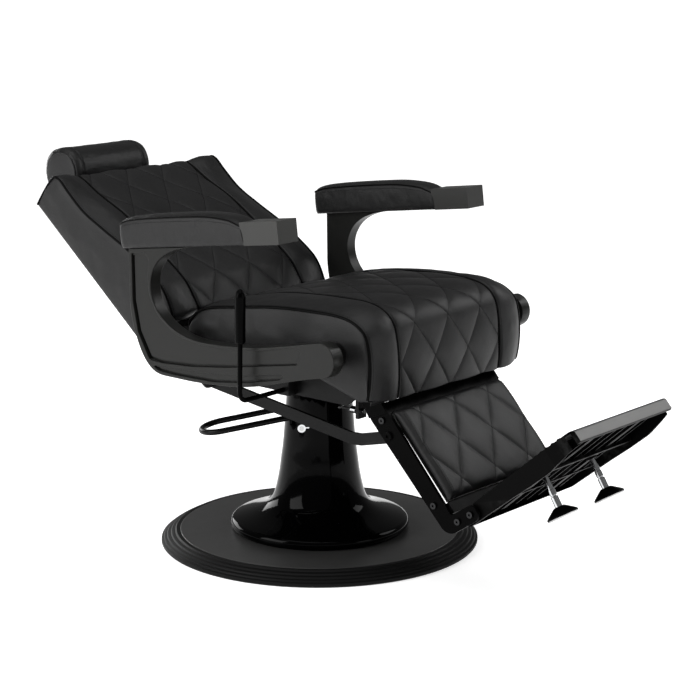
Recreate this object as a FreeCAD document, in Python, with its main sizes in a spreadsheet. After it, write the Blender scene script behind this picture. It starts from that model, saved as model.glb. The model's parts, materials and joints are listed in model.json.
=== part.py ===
import FreeCAD, Part
import os, math
from FreeCAD import Vector as V, Placement, Rotation

# Reclining hydraulic barber chair. Millimetres, +Z up, origin on the floor at
# the centre of the round base. The chair faces -Y; the sitter's right is -X.
# Rest pose: back fully reclined, leg rest raised, seat at its lowest.

doc = FreeCAD.newDocument("BarberChair")
sheet = doc.addObject("Spreadsheet::Sheet", "Dims")
D = {}
_row = [1]


def dim(name, value, note=""):
    r = _row[0]
    _row[0] += 1
    sheet.set("A%d" % r, name)
    sheet.set("B%d" % r, str(value))
    sheet.set("C%d" % r, note)
    sheet.setAlias("B%d" % r, name)
    D[name] = float(value)
    return float(value)


# ---- driving dimensions -------------------------------------------------
dim("base_radius", 350.0, "outer radius of the floor disc")
dim("disc_radius", 308.5, "radius of the flat steel disc inside the rim")
dim("disc_height", 29.0, "top of the flat disc")
dim("rim_toe", 9.0, "height of the rim's upright edge")
dim("bell_radius", 197.5, "widest radius of the bell cover")
dim("bell_top", 338.0, "top of the bell cover")
dim("bell_wall", 3.0, "wall of the bell cover")
dim("cyl_radius", 38.0, "outside of the pump cylinder")
dim("bore_radius", 30.06, "bore of the pump cylinder")
dim("ram_radius", 30.0, "lifting ram")
dim("ram_foot", 60.0, "bottom of the ram at rest")
dim("ram_shoulder", 345.0, "shoulder of the ram")
dim("spigot_radius", 20.0, "swivel spigot on top of the ram")
dim("spigot_top", 370.0, "top of the swivel spigot")
dim("hub_radius", 36.0, "swivel hub")
dim("hub_bore", 20.05, "bore of the swivel hub")
dim("hub_plate", 200.0, "side of the square hub plate")
dim("pedal_turn", 43.0, "pedal direction, turned from straight back")
dim("pedal_half", 47.0, "half spacing of the pedal's two rods")
dim("pedal_rod", 6.5, "radius of the pedal rod")
dim("pedal_reach", 262.6, "length of the pedal loop from its pivot")
dim("pedal_fall", 10.76, "slope of the pedal, degrees")
dim("pedal_z", 300.0, "height of the pedal rods' line over the axis")
dim("pedal_pin_y", 43.0, "pedal pivot, out from the axis")
dim("pedal_pin_z", 271.0, "height of the pedal pivot")
dim("plunger_y", -46.0, "pump plunger, out from the axis")
dim("rail_in", 200.0, "inner face of the seat frame's side plates")
dim("plate_t", 8.0, "thickness of the steel side plates")
dim("leg_in", 186.0, "inner face of the leg rest plates")
dim("back_in", 188.0, "inner face of the back frame plates")
dim("link_in", 176.0, "inner face of the link bars")
dim("seat_half", 260.0, "half width of the seat")
dim("seat_core", 180.0, "half width of the quilted seat panel")
dim("back_half", 255.0, "half width of the back")
dim("arm_face", 342.0, "outer face of the arm castings")
dim("arm_t", 30.0, "thickness of the arm castings")
dim("pad_half", 30.0, "half width of an arm pad")
dim("pad_x", 319.0, "middle of an arm pad")
dim("cap_height", 47.0, "height of the arm cap")
dim("pitch", 6.9, "rise of the arms towards the front, degrees")
dim("hinge_leg_y", -274.5, "leg rest hinge")
dim("hinge_leg_z", 463.0, "leg rest hinge")
dim("hinge_back_y", 200.0, "back hinge")
dim("hinge_back_z", 462.0, "back hinge")
dim("pin_rear_y", 150.0, "rear link pin, on the back frame")
dim("pin_rear_z", 366.0, "rear link pin, on the back frame")
dim("pin_front_y", -342.0, "front link pin, on the leg rest")
dim("pin_front_z", 327.0, "front link pin, on the leg rest")
dim("pivot_pin", 9.0, "radius of the hinge pins")
dim("link_pin", 6.0, "radius of the link pins")
dim("run_gap", 0.05, "radial running clearance of the hinges")
dim("open_gap", 2.2, "radial play at the link bars' front eyes")
dim("back_lean", 41.0, "angle of the rear of the back at rest, degrees")
dim("back_o_y", 305.0, "point on the rear line of the back")
dim("back_o_z", 454.0, "point on the rear line of the back")
dim("leg_lean", 48.63, "angle of the leg rest at rest, degrees")
dim("foot_half", 184.0, "half width of the footplate")
dim("tread_t", 5.0, "thickness of the footplate's tread")
dim("stem_radius", 6.5, "levelling foot stem")
dim("foot_radius", 33.0, "levelling foot pad")
dim("grip_radius", 11.0, "grip of the recline lever")
dim("rod_radius", 5.0, "rod of the recline lever")
dim("lever_x", 365.0, "distance of the lever from the middle")
dim("lever_y", -95.0, "lever shaft")
dim("lever_z", 393.0, "lever shaft")
dim("roll_radius", 57.0, "headrest roll")
dim("roll_half", 120.0, "half width of the headrest")
doc.recompute()

NODES = []


def keep(obj, label):
    obj.Label = label
    NODES.append((label, obj))
    return obj


def bind(obj, prop, val):
    if isinstance(val, str):
        obj.setExpression(prop, val)
    else:
        setattr(obj, prop, val)


def rnd(pts):
    """Closed outline from (u, v, r) corners: tangent arcs round each corner."""
    n = len(pts)
    trims = []
    for i in range(n):
        u, v = pts[i][0], pts[i][1]
        r = pts[i][2] if len(pts[i]) > 2 else 0.0
        a = V(pts[i - 1][0] - u, pts[i - 1][1] - v, 0)
        b = V(pts[(i + 1) % n][0] - u, pts[(i + 1) % n][1] - v, 0)
        la, lb = a.Length, b.Length
        a.normalize()
        b.normalize()
        c = V(u, v, 0)
        ang = math.acos(max(-1, min(1, a.dot(b))))
        if r <= 0 or ang > math.pi - 1e-3:
            trims.append((c, c, None))
            continue
        t = r / math.tan(ang / 2)
        t = min(t, 0.49 * la, 0.49 * lb)
        r = t * math.tan(ang / 2)
        bis = (a + b)
        bis.normalize()
        cen = c + bis * (r / math.sin(ang / 2))
        mid = cen - bis * r
        trims.append((c + a * t, c + b * t, mid))
    out = []
    for i in range(n):
        s, e, m = trims[i]
        if m is not None:
            out.append(Part.Arc(s, m, e))
        nx = trims[(i + 1) % n][0]
        if e.distanceToPoint(nx) > 1e-6:
            out.append(Part.LineSegment(e, nx))
    return out


def outline(loops):
    geo = []
    for lp in loops:
        geo += rnd(lp)
    return geo


def plane_of(body, role):
    return [f for f in body.Origin.OriginFeatures if f.Role == role][0]


def new_sketch(body, name, role, geo):
    sk = body.newObject("Sketcher::SketchObject", name)
    sk.AttachmentSupport = [(plane_of(body, role), "")]
    sk.MapMode = "FlatFace"
    for g in geo:
        sk.addGeometry(g, False)
    return sk


def slab(name, loops, x0, thick, holes=(), role="YZ_Plane"):
    """A plate cut from an outline in the YZ plane, from x0 along +X."""
    body = doc.addObject("PartDesign::Body", name)
    geo = outline(loops)
    for (cy, cz, r) in holes:
        geo.append(Part.Circle(V(cy, cz, 0), V(0, 0, 1), r))
    sk = new_sketch(body, name + "_sketch", role, geo)
    pad = body.newObject("PartDesign::Pad", name + "_pad")
    pad.Profile = sk
    bind(pad, "Length", thick)
    body.Placement = Placement(V(x0, 0, 0), Rotation())
    body.Tip = pad
    return body


def turned(name, pts, geo=None):
    """A body of revolution about Z from an (r, z) outline."""
    body = doc.addObject("PartDesign::Body", name)
    sk = new_sketch(body, name + "_sketch", "XZ_Plane", geo if geo else rnd(pts))
    rev = body.newObject("PartDesign::Revolution", name + "_turn")
    rev.Profile = sk
    rev.ReferenceAxis = (sk, ["V_Axis"])
    rev.Angle = 360.0
    body.Tip = rev
    return body


def cyl(name, r, length, pl):
    c = doc.addObject("Part::Cylinder", name)
    bind(c, "Radius", r)
    bind(c, "Height", length)
    c.Placement = pl
    return c


def box(name, size, pl, centre=True):
    b = doc.addObject("Part::Box", name)
    bind(b, "Length", size[0])
    bind(b, "Width", size[1])
    bind(b, "Height", size[2])
    if centre:
        lx = D[size[0][5:]] if isinstance(size[0], str) else size[0]
        pl = pl.multiply(Placement(V(-lx / 2.0, 0, 0), Rotation()))
    b.Placement = pl
    return b


def cut(name, base, tools):
    tool = tools[0]
    if len(tools) > 1:
        tool = doc.addObject("Part::MultiFuse", name + "_tools")
        tool.Shapes = tools
    c = doc.addObject("Part::Cut", name)
    c.Base = base
    c.Tool = tool
    return c


def fuse(name, shapes):
    f = doc.addObject("Part::MultiFuse", name)
    f.Shapes = shapes
    return f


def raw(name, shape):
    f = doc.addObject("Part::Feature", name)
    f.Shape = shape
    return f


def alongx(x, y, z):
    return Placement(V(x, y, z), Rotation(V(0, 1, 0), 90))


def mirrored(name, src):
    m = doc.addObject("Part::Mirroring", name)
    m.Source = src
    m.Normal = V(1, 0, 0)
    m.Base = V(0, 0, 0)
    return m


LY, LZ = D["hinge_leg_y"], D["hinge_leg_z"]
BY, BZ = D["hinge_back_y"], D["hinge_back_z"]
EY, EZ = D["pin_rear_y"], D["pin_rear_z"]
PY, PZ = D["pin_front_y"], D["pin_front_z"]
PR = D["pivot_pin"]
HR = PR + D["run_gap"]
KR = D["link_pin"]
KH = KR + D["run_gap"]

# ======================================================================
# Base and pump (fixed on the floor)
# ======================================================================
dr, dh, br = D["disc_radius"], D["disc_height"], D["base_radius"]
disc = turned("disc_turned", [(0, 0), (dr, 0), (dr, dh, 1.5), (0, dh)])
screw_sites = [(80 * math.cos(math.radians(a)), 80 * math.sin(math.radians(a))) for a in (10, 100, 190, 280)]
tools = [cyl("disc_hole_%d" % i, 5.2, 14.0, Placement(V(x, y, 15.2), Rotation())) for i, (x, y) in enumerate(screw_sites)]
keep(cut("base_disc_cut", disc, tools), "base_disc")

# stepped rim round the disc: three fine ridges fall to the floor
rim = turned("rim_turned", [
    (dr, 0), (br - 3, 0, 2), (br, 3, 1.5), (br, D["rim_toe"], 1.5), (br - 5, 10.5, 1), (br - 6.5, 14, 1.5),
    (br - 12, 15.5, 1), (br - 14, 19, 1.5), (br - 20.5, 20.5, 1), (br - 23, 23.5, 1.5), (br - 30, 25, 1),
    (br - 33, dh - 0.5, 1.5), (dr, dh - 0.5)])
keep(rim, "base_rim")

bt, bw = D["bell_top"], D["bell_wall"]
bell_out = [(186, dh), (D["bell_radius"] - 1.5, dh + 3.5), (D["bell_radius"], dh + 12), (D["bell_radius"] - 3, dh + 19.5),
            (188, 53.5), (170, 59.5), (150, 66), (130, 74), (113, 85), (102.5, 100), (97.5, 115), (93.5, 132),
            (90, 150), (87.2, 168), (84.9, 187), (82.3, 206), (80.3, 223), (77.9, 250), (75.6, 280), (73.4, 310), (71.5, bt)]


def spline2(pts, t0=None, t1=None):
    s = Part.BSplineCurve()
    s.interpolate([V(p[0], p[1], 0) for p in pts])
    return s


def offset_pts(pts, d):
    out = []
    for i, p in enumerate(pts):
        a = pts[max(0, i - 1)]
        b = pts[min(len(pts) - 1, i + 1)]
        tx, tz = b[0] - a[0], b[1] - a[1]
        L = math.hypot(tx, tz)
        out.append((p[0] - tz / L * d, p[1] + tx / L * d))
    return out


bell_in = offset_pts(bell_out[1:], bw)
bell_in = [(183.5, dh)] + [(p[0], p[1]) for p in bell_in[1:]]
bell_in[-1] = (bell_out[-1][0] - bw, bt)
roll = Part.Arc(V(186, dh, 0), V(D["bell_radius"], dh + 12, 0), V(188, 53.5, 0))
skin = spline2(bell_out[4:])
inner = spline2([bell_in[i] for i in range(3, len(bell_in))])
g = [roll, skin,
     Part.LineSegment(V(bell_out[-1][0], bt, 0), V(bell_in[-1][0], bt, 0)),
     inner,
     Part.LineSegment(V(bell_in[3][0], bell_in[3][1], 0), V(183.5, dh, 0)),
     Part.LineSegment(V(183.5, dh, 0), V(186, dh, 0))]
bell = turned("bell_turned", None, g)
turn = Placement(V(0, 0, 0), Rotation(V(0, 0, 1), D["pedal_turn"]))
slots = []
for s in (-1, 1):
    slots.append(box("bell_slot_%d" % (s + 1), (17.0, 80.0, 28.0), turn.multiply(Placement(V(s * D["pedal_half"], 22, 269.5), Rotation()))))
slots.append(cyl("bell_pin_hole", 5.6, 200.0, turn.multiply(Placement(V(-100.0, D["pedal_pin_y"], D["pedal_pin_z"]), Rotation(V(0, 1, 0), 90).multiply(Rotation(V(0, 0, 1), 37))))))
keep(cut("bell_cut", bell, slots), "bell_cover")

# pump cylinder with its bolted foot flange and the plunger barrel beside it
cr, bo = D["cyl_radius"], D["bore_radius"]
pump = turned("pump_turned", [(0, dh), (100, dh), (100, dh + 12, 2), (cr + 8, dh + 12, 6), (cr, dh + 22, 2), (cr, 292), (bo, 292), (bo, 50), (0, 50)])
PN, PZN, PLY = D["pedal_pin_y"], D["pedal_pin_z"], D["plunger_y"]
barrel = cyl("pump_barrel", 11.0, 222.0, turn.multiply(Placement(V(0, PLY, dh + 6), Rotation())))
barrel_bore = cyl("pump_barrel_bore", 6.06, 190.0, turn.multiply(Placement(V(0, PLY, dh + 60), Rotation())))
lug = box("pump_lug", (76.0, 24.0, 22.0), turn.multiply(Placement(V(0, 28, PZN - 11), Rotation())))
pump_f = fuse("pump_fused", [pump, barrel, lug])
pump_tools = [cyl("pump_hole_%d" % i, 5.2, 20.0, Placement(V(x, y, dh - 2), Rotation())) for i, (x, y) in enumerate(screw_sites)]
pump_tools += [barrel_bore, cyl("pump_main_bore", "Dims.bore_radius", 250.0, Placement(V(0, 0, 50), Rotation())),
               cyl("pump_pin_hole", 5.0, 120.0, turn.multiply(Placement(V(-60, PN, PZN), Rotation(V(0, 1, 0), 90))))]
keep(cut("pump_cut", pump_f, pump_tools), "pump_cylinder")

gland = turned("gland_turned", [(bo, 292), (cr, 292), (cr, 299, 2), (bo + 4, 303, 1.5), (bo, 303)])
keep(gland, "ram_gland")


def hexbolt(x, y, z, r, hd, hh, ln):
    pts = [V(x + hd * math.cos(math.radians(60 * i)), y + hd * math.sin(math.radians(60 * i)), z) for i in range(7)]
    head = Part.Face(Part.makePolygon(pts)).extrude(V(0, 0, hh))
    return head.fuse(Part.makeCylinder(r, ln + 0.5, V(x, y, z - ln), V(0, 0, 1)))


keep(raw("pump_bolts_set", Part.makeCompound([hexbolt(x, y, dh + 12, 5.0, 8.5, 6.5, 24) for x, y in screw_sites])), "pump_foot_bolts")

# pedal pivot: two stub pins in the pump's lug, their ends out through the bell,
# each held by a sprung chrome clip with a tail
pins, clips = [], []
for s in (-1, 1):
    pins.append(Part.makeCylinder(5.0, 52.8, V(s * 83.8 if s < 0 else 31.0, PN, PZN), V(1, 0, 0)))
    c0 = -83.2 if s < 0 else 81.2
    c = Part.makeCylinder(8.8, 2.0, V(c0, PN, PZN), V(1, 0, 0)).fuse(Part.makeBox(2.0, 10.0, 2.6, V(c0, PN - 16.0, PZN + 0.4)))
    clips.append(c.cut(Part.makeCylinder(5.0, 4.0, V(c0 - 1, PN, PZN), V(1, 0, 0))))
pp = Part.makeCompound(pins)
pp.Placement = turn
keep(raw("pedal_pins_set", pp), "pedal_pivot_pins")
cp = Part.makeCompound(clips)
cp.Placement = turn
keep(raw("pedal_clips_set", cp), "pedal_pin_clips")

# ======================================================================
# Pump pedal and plunger
# ======================================================================
ph, pr, reach = D["pedal_half"], D["pedal_rod"], D["pedal_reach"]
# a U of round rod outside; inside the bell flat arms run past the cylinder on
# both sides to a cross bar that works the plunger behind it
s_edge = Part.Wire([
    Part.LineSegment(V(ph, 46, 0), V(ph, reach - ph, 0)).toShape(),
    Part.Arc(V(ph, reach - ph, 0), V(0, reach, 0), V(-ph, reach - ph, 0)).toShape(),
    Part.LineSegment(V(-ph, reach - ph, 0), V(-ph, 46, 0)).toShape()])
prof = Part.Wire([Part.Circle(V(ph, 46, 0), V(0, 1, 0), pr).toShape()])
ped = s_edge.makePipeShell([prof], True, False)
ped.Placement = Placement(V(0, 0, D["pedal_z"]), Rotation(V(1, 0, 0), -D["pedal_fall"]))
rise = D["pedal_z"] - 0.19 * 50.0
for s in (-1, 1):
    x0 = 41.5 if s > 0 else -47.5
    strip = Part.makeBox(6.0, PN - PLY, 14.0, V(x0, PLY, PZN - 7.0))
    post_ = Part.makeBox(6.0, 16.0, rise - PZN + 2.0, V(x0, PN - 5.0, PZN))
    one = strip.fuse(post_).fuse(Part.makeCylinder(11.0, 6.0, V(x0, PN, PZN), V(1, 0, 0))).fuse(Part.makeCylinder(8.0, 6.0, V(x0, PLY, PZN), V(1, 0, 0)))
    ped = ped.fuse(one)
ped = ped.fuse(Part.makeCylinder(4.5, 2 * 47.5, V(-47.5, PLY, PZN), V(1, 0, 0)))
for s in (-1, 1):
    ped = ped.cut(Part.makeCylinder(5.05, 26.0, V(s * 46.0 - 13.0, PN, PZN), V(1, 0, 0)))
ped = ped.removeSplitter()
ped.Placement = turn.multiply(ped.Placement)
keep(raw("pedal_loop", ped), "pump_pedal")

# plunger: rod in the barrel, a slotted head round the cross bar
head = Part.makeBox(14.0, 14.0, 19.0, V(-7, PLY - 7, PZN - 9.5))
so = Part.makeBox(16.0, 6.0, 9.5, V(-8, PLY - 1.5, PZN - 4.75)).fuse(Part.makeCylinder(4.75, 16.0, V(-8, PLY - 1.5, PZN), V(1, 0, 0))).fuse(Part.makeCylinder(4.75, 16.0, V(-8, PLY + 4.5, PZN), V(1, 0, 0)))
plg = Part.makeCylinder(6.0, PZN - 9.0 - 150.0, V(0, PLY, 150.0), V(0, 0, 1)).fuse(head.cut(so)).removeSplitter()
plg.Placement = turn
keep(raw("plunger_rod", plg), "pump_plunger")

# ======================================================================
# Lifting ram
# ======================================================================
ram = turned("ram_turned", [(0, D["ram_foot"]), (D["ram_radius"], D["ram_foot"], 2), (D["ram_radius"], D["ram_shoulder"], 1),
                            (D["spigot_radius"], D["ram_shoulder"]), (D["spigot_radius"], D["spigot_top"], 1.5), (0, D["spigot_top"])])
keep(ram, "lifting_ram")
br_in = D["spigot_radius"] + 0.2
ring = turned("bearing_turned", [(br_in, D["ram_shoulder"]), (29.0, D["ram_shoulder"], 0.8), (29.0, D["ram_shoulder"] + 4, 0.8), (br_in, D["ram_shoulder"] + 4)])
keep(ring, "thrust_bearing")

# ======================================================================
# Seat: swivel hub, welded frame, board, cushion
# ======================================================================
hz0 = D["ram_shoulder"] + 4.3
hub = turned("hub_turned", [(D["hub_bore"], hz0), (D["hub_radius"], hz0, 1), (D["hub_radius"], 366, 4), (60, 372), (60, 376), (0, 376), (0, 372), (D["hub_bore"], 372)])
hubp = box("hub_plate_box", ("Dims.hub_plate", "Dims.hub_plate", 8.0), Placement(V(0, -D["hub_plate"] / 2, 374), Rotation()))
hub_sites = [(x, y) for x in (-80, 80) for y in (-80, 80)]
hub_f = fuse("hub_fused", [hub, hubp])
keep(cut("hub_cut", hub_f, [cyl("hub_hole_%d" % i, 5.2, 30.0, Placement(V(x, y, 365), Rotation())) for i, (x, y) in enumerate(hub_sites)]), "swivel_hub")

ri, pt = D["rail_in"], D["plate_t"]
rail_loop = [(-312, 430, 10), (-312, 508, 14), (-262, 513, 6), (120, 487, 8), (172, 487, 8), (218, 487, 22), (224, 440, 20), (150, 432, 20), (112, 386, 10),
             (-245, 378, 10)]
rail_holes = [(LY, LZ, PR), (BY, BZ, PR), (-275.0, 495.0, 6.1), (160.0, 463.0, 6.1)]
railR = slab("rail_right", [rail_loop], -(ri + pt), "Dims.plate_t", rail_holes)
railL = slab("rail_left", [rail_loop], ri, "Dims.plate_t", rail_holes)
front_x = slab("frame_front_web", [[(-236, 392), (-236, 500), (-228, 500), (-228, 392)]], -ri, 2 * ri)
rear_x = slab("frame_rear_web", [[(96, 404), (96, 484), (104, 484), (104, 404)]], -ri, 2 * ri)
barR = box("frame_bar_right", (44.0, 332.0, 14.0), Placement(V(-78, -234, 382), Rotation()))
barL = box("frame_bar_left", (44.0, 332.0, 14.0), Placement(V(78, -234, 382), Rotation()))
rear_post1 = box("frame_post_right", (44.0, 8.0, 34.0), Placement(V(-78, 94, 382), Rotation()))
rear_post2 = box("frame_post_left", (44.0, 8.0, 34.0), Placement(V(78, 94, 382), Rotation()))
gs_ear1 = slab("gas_ear_1", [[(-230, 424), (-230, 456), (-196, 446, 8), (-196, 424, 8)]], 134.0, 5.0, [(-206.0, 434.0, 5.0)])
gs_ear2 = slab("gas_ear_2", [[(-230, 424), (-230, 456), (-196, 446, 8), (-196, 424, 8)]], 161.0, 5.0, [(-206.0, 434.0, 5.0)])
lblock = box("lever_block", (24.0, 30.0, 30.0), Placement(V(-(ri + pt) - 12.0, -110, 382), Rotation()))
tab = box("cable_tab", (26.0, 8.0, 64.0), Placement(V(-150, -240, 340), Rotation()))
clip = box("cable_clip", (10.0, 12.0, 12.0), Placement(V(129, -212, 428), Rotation()))
frame_f = fuse("seat_frame_fused", [railR, railL, front_x, rear_x, barR, barL, rear_post1, rear_post2, gs_ear1, gs_ear2, lblock, tab, clip])
frame_holes = [cyl("frame_bolt_hole_%d" % i, 5.2, 26.0, Placement(V(x, y, 378), Rotation())) for i, (x, y) in enumerate(hub_sites)]
frame_holes.append(cyl("lever_bore", "Dims.rod_radius + 0.05", 60.0, alongx(-(ri + pt) - 40, D["lever_y"], D["lever_z"])))
frame_holes.append(cyl("cable_tab_hole", 5.1, 30.0, Placement(V(-150, -225, 355), Rotation(V(1, 0, 0), 90))))
keep(cut("seat_frame_cut", frame_f, frame_holes), "seat_frame")
keep(raw("hub_bolts_set", Part.makeCompound([hexbolt(x, y, 396.0, 5.0, 8.5, 6.0, 28) for x, y in hub_sites])), "hub_bolts")

board_loop = [(-330, 519, 3), (126, 489, 3), (126, 501, 3), (-330, 531, 3)]
keep(slab("seat_board_pad", [board_loop], -236.0, 472.0), "seat_board")

# seat cushion: waterfall front, cap over the board with sides hanging past the frame
side_loop = [(136, 446, 8), (136, 520, 14), (118, 537, 30), (84, 548, 60), (0, 560, 200), (-92, 571, 200), (-190, 575, 200), (-272, 573, 40),
             (-312, 563, 34), (-340, 535, 40), (-349, 470, 60), (-345, 408, 8), (-318, 405, 8), (-214, 436, 12)]
core_loop = [(136, 470, 8), (136, 528, 8), (121, 540, 20), (47, 565, 120), (-57, 583, 200), (-190, 592, 200), (-268, 588, 60), (-318, 565, 50),
             (-350, 520, 60), (-366, 468, 60), (-364, 410, 10), (-322, 402, 8), (-240, 440, 10)]
cav_loop = [(150, 300), (150, 488.4), (127, 488.4), (127, 502.5), (-332, 532.5), (-332, 300)]
cs = slab("cushion_sides", [side_loop], -D["seat_half"], "2 * Dims.seat_half")
cc = slab("cushion_core", [core_loop], -D["seat_core"], "2 * Dims.seat_core")
cf = fuse("cushion_fused", [cs, cc])
cav = slab("cushion_cavity", [cav_loop], -238.0, 476.0)
boss_cut = [cyl("cushion_boss_R", 14.0, 60.0, alongx(-290, -275, 495)), cyl("cushion_boss_L", 14.0, 60.0, alongx(230, -275, 495))]
keep(cut("seat_cushion_cut", cf, [cav] + boss_cut), "seat_cushion")

# ======================================================================
# Arms: castings, bosses, pads and caps
# ======================================================================
AF, AT = D["arm_face"], D["arm_t"]


def curve(pts):
    s = Part.BSplineCurve()
    s.interpolate([V(p[0], p[1], 0) for p in pts])
    return s


arm_outer = [(234, 560), (229, 520), (213, 472), (190, 434), (163, 414), (122, 409), (60, 408), (0, 410), (-75, 416), (-140, 428), (-205, 445), (-282, 463)]
arm_inner = [(-288, 535.5), (-219, 522), (-138, 507), (-60, 498), (0, 495), (46, 496), (102, 509), (146, 537), (169, 573), (172, 610), (152, 649), (104, 678), (24, 694.5)]
arm_geo = [Part.LineSegment(V(235, 668.6, 0), V(234, 560, 0)), curve(arm_outer),
           Part.Arc(V(-282, 463, 0), V(-320.5, 503, 0), V(-288, 535.5, 0)), curve(arm_inner),
           Part.LineSegment(V(24, 694.5, 0), V(235, 668.6, 0))]
groove_1 = [(190, 664.5, 3), (227, 660, 5), (226, 560, 60), (212, 494, 60), (180, 438, 12), (142, 436, 60), (60, 440, 200), (-40, 452, 300), (-226, 483, 5),
            (-236, 512, 5), (-214, 517, 30), (-138, 500, 200), (-60, 491, 200), (30, 488, 150), (98, 499, 60), (152, 533, 60), (178, 577, 60), (182, 618, 60), (176, 654, 20)]
groove_2 = [(170, 425, 6), (140, 428, 60), (40, 430, 200), (-70, 438, 200), (-196, 459, 3), (-180, 446, 30), (-90, 427, 200), (0, 416, 200), (110, 415.5, 100), (154, 418, 12)]


# narrow deep slots along the lower edges of the two recesses
slot_1 = [(227, 656), (226, 560), (212, 494), (181, 440), (142, 436), (60, 440), (-40, 452), (-222, 482.5), (-222, 485), (-40, 457.5), (60, 446), (142, 442), (176, 446), (206, 497), (219.5, 560), (220.5, 656)]
slot_2 = [(168, 425), (152, 418.3), (110, 415.8), (0, 416.4), (-90, 427.4), (-180, 446.4), (-182, 449), (-90, 432), (0, 421.2), (110, 420.6), (150, 423), (163, 428)]


def arm(name, sign):
    body = doc.addObject("PartDesign::Body", name + "_body")
    sk = new_sketch(body, name + "_sketch", "YZ_Plane", arm_geo)
    pad = body.newObject("PartDesign::Pad", name + "_pad")
    pad.Profile = sk
    pad.setExpression("Length", "Dims.arm_t")
    body.Tip = pad
    body.Placement = Placement(V(-AF, 0, 0), Rotation())
    g1 = slab(name + "_recess_1", [groove_1], -AF - 1.0, 5.0)
    g2 = slab(name + "_recess_2", [groove_2], -AF - 1.0, 5.0)
    g3 = slab(name + "_slot_1", [slot_1], -AF - 1.0, 11.0)
    g4 = slab(name + "_slot_2", [slot_2], -AF - 1.0, 10.0)
    bolt_h = [cyl(name + "_bolt_hole_1", 6.1, 20.0, alongx(-AF + 14.0, -275, 495)),
              cyl(name + "_bolt_hole_2", 6.1, 20.0, alongx(-AF + 14.0, 160, 463))]
    return cut(name + "_cut", body, [g1, g2, g3, g4] + bolt_h)


armR = arm("arm_right", -1)
doc.recompute()
shape = armR.Shape.copy()
edges = []
for e in shape.Edges:
    b = e.BoundBox
    if abs(b.XMin + AF) < 1e-3 and abs(b.XMax + AF) < 1e-3:
        c = e.CenterOfMass
        edges.append(e)
fil = None
try:
    fil = shape.makeFillet(1.6, edges)
    if not fil.isValid() or len(fil.Solids) != 1:
        fil = None
except Exception:
    fil = None
print("arm edge rounding:", fil is not None)
arm_r = keep(raw("arm_frame_right_body", fil if fil is not None else shape), "arm_frame_right")
arm_l = keep(mirrored("arm_frame_left_mirror", arm_r), "arm_frame_left")

# standoff bosses between the arms and the seat frame, front and rear
gap0 = AF - AT


def tube(x0, x1, y, z, r, ri_):
    a = Part.makeCylinder(r, abs(x1 - x0), V(min(x0, x1), y, z), V(1, 0, 0))
    return a.cut(Part.makeCylinder(ri_, abs(x1 - x0) + 2, V(min(x0, x1) - 1, y, z), V(1, 0, 0)))


fronts, rears = [], []
for sgn in (-1, 1):
    fr = Part.makeCylinder(27.0, gap0 - D["seat_half"] - 0.5, V(min(sgn * (D["seat_half"] + 0.5), sgn * gap0), -264, 495), V(1, 0, 0))
    neck = Part.makeCylinder(13.0, D["seat_half"] + 0.5 - (ri + pt), V(min(sgn * (ri + pt), sgn * (D["seat_half"] + 0.5)), -275, 495), V(1, 0, 0))
    fr = fr.fuse(neck).cut(Part.makeCylinder(6.1, 200, V(-100 + sgn * 260, -275, 495), V(1, 0, 0)))
    fronts.append(fr.removeSplitter())
    rears.append(tube(sgn * (ri + pt), sgn * gap0, 160, 463, 13.0, 6.1))
keep(raw("arm_front_bosses_set", Part.makeCompound(fronts)), "arm_front_bosses")
keep(raw("arm_rear_bosses_set", Part.makeCompound(rears)), "arm_rear_bosses")


def armbolt(sgn, y, z):
    a, b = sorted((sgn * (ri - 6.0), sgn * (AF - 14.0)))
    s = Part.makeCylinder(6.0, b - a, V(a, y, z), V(1, 0, 0))
    h0 = sorted((sgn * (ri - 6.0), sgn * ri))
    return s.fuse(Part.makeCylinder(10.0, 6.0, V(h0[0], y, z), V(1, 0, 0)))


keep(raw("arm_bolts_set", Part.makeCompound([armbolt(s, y, z) for s in (-1, 1) for y, z in ((-275.0, 495.0), (160.0, 463.0))])), "arm_bolts")

# arm pads and caps lie along the arms' pitch; local Y runs back, local Z up
pitch = Rotation(V(1, 0, 0), -D["pitch"])
a0 = V(0, 240.0, 668.2)


def armlocal(sgn):
    return Placement(V(sgn * D["pad_x"], a0.y, a0.z), pitch)


for sgn, side in ((-1, "right"), (1, "left")):
    pw = D["pad_half"]
    # side outline of the pad: crowned top, rounded rear, slanted front meeting the cap
    body = doc.addObject("PartDesign::Body", "armpad_" + side)
    skp = new_sketch(body, "armpad_sketch_" + side, "YZ_Plane",
                     rnd([(8, 4, 10), (10, 62, 18), (-70, 69, 200), (-230, 69, 120), (-306, 59, 30), (-330, 46, 3), (-338, 0.4, 3), (2, 0.4, 10)]))
    pd = body.newObject("PartDesign::Pad", "armpad_pad_" + side)
    pd.Profile = skp
    pd.setExpression("Length", "2 * Dims.pad_half")
    body.Tip = pd
    body.Placement = armlocal(sgn).multiply(Placement(V(-pw, 0, 0), Rotation()))
    keep(body, "arm_pad_" + side)
    cap = doc.addObject("PartDesign::Body", "armcap_" + side)
    skc = new_sketch(cap, "armcap_sketch_" + side, "YZ_Plane",
                     rnd([(-330.6, 46.6, 0.8), (-339.0, 0.4, 0.8), (-431, 0.4, 1.2), (-431, D["cap_height"] + 0.4, 1.2), (-332, D["cap_height"] + 0.4, 1.2)]))
    pc = cap.newObject("PartDesign::Pad", "armcap_pad_" + side)
    pc.Profile = skc
    pc.setExpression("Length", "2 * Dims.pad_half")
    cap.Tip = pc
    cap.Placement = armlocal(sgn).multiply(Placement(V(-pw, 0, 0), Rotation()))
    keep(cap, "arm_cap_" + side)

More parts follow.
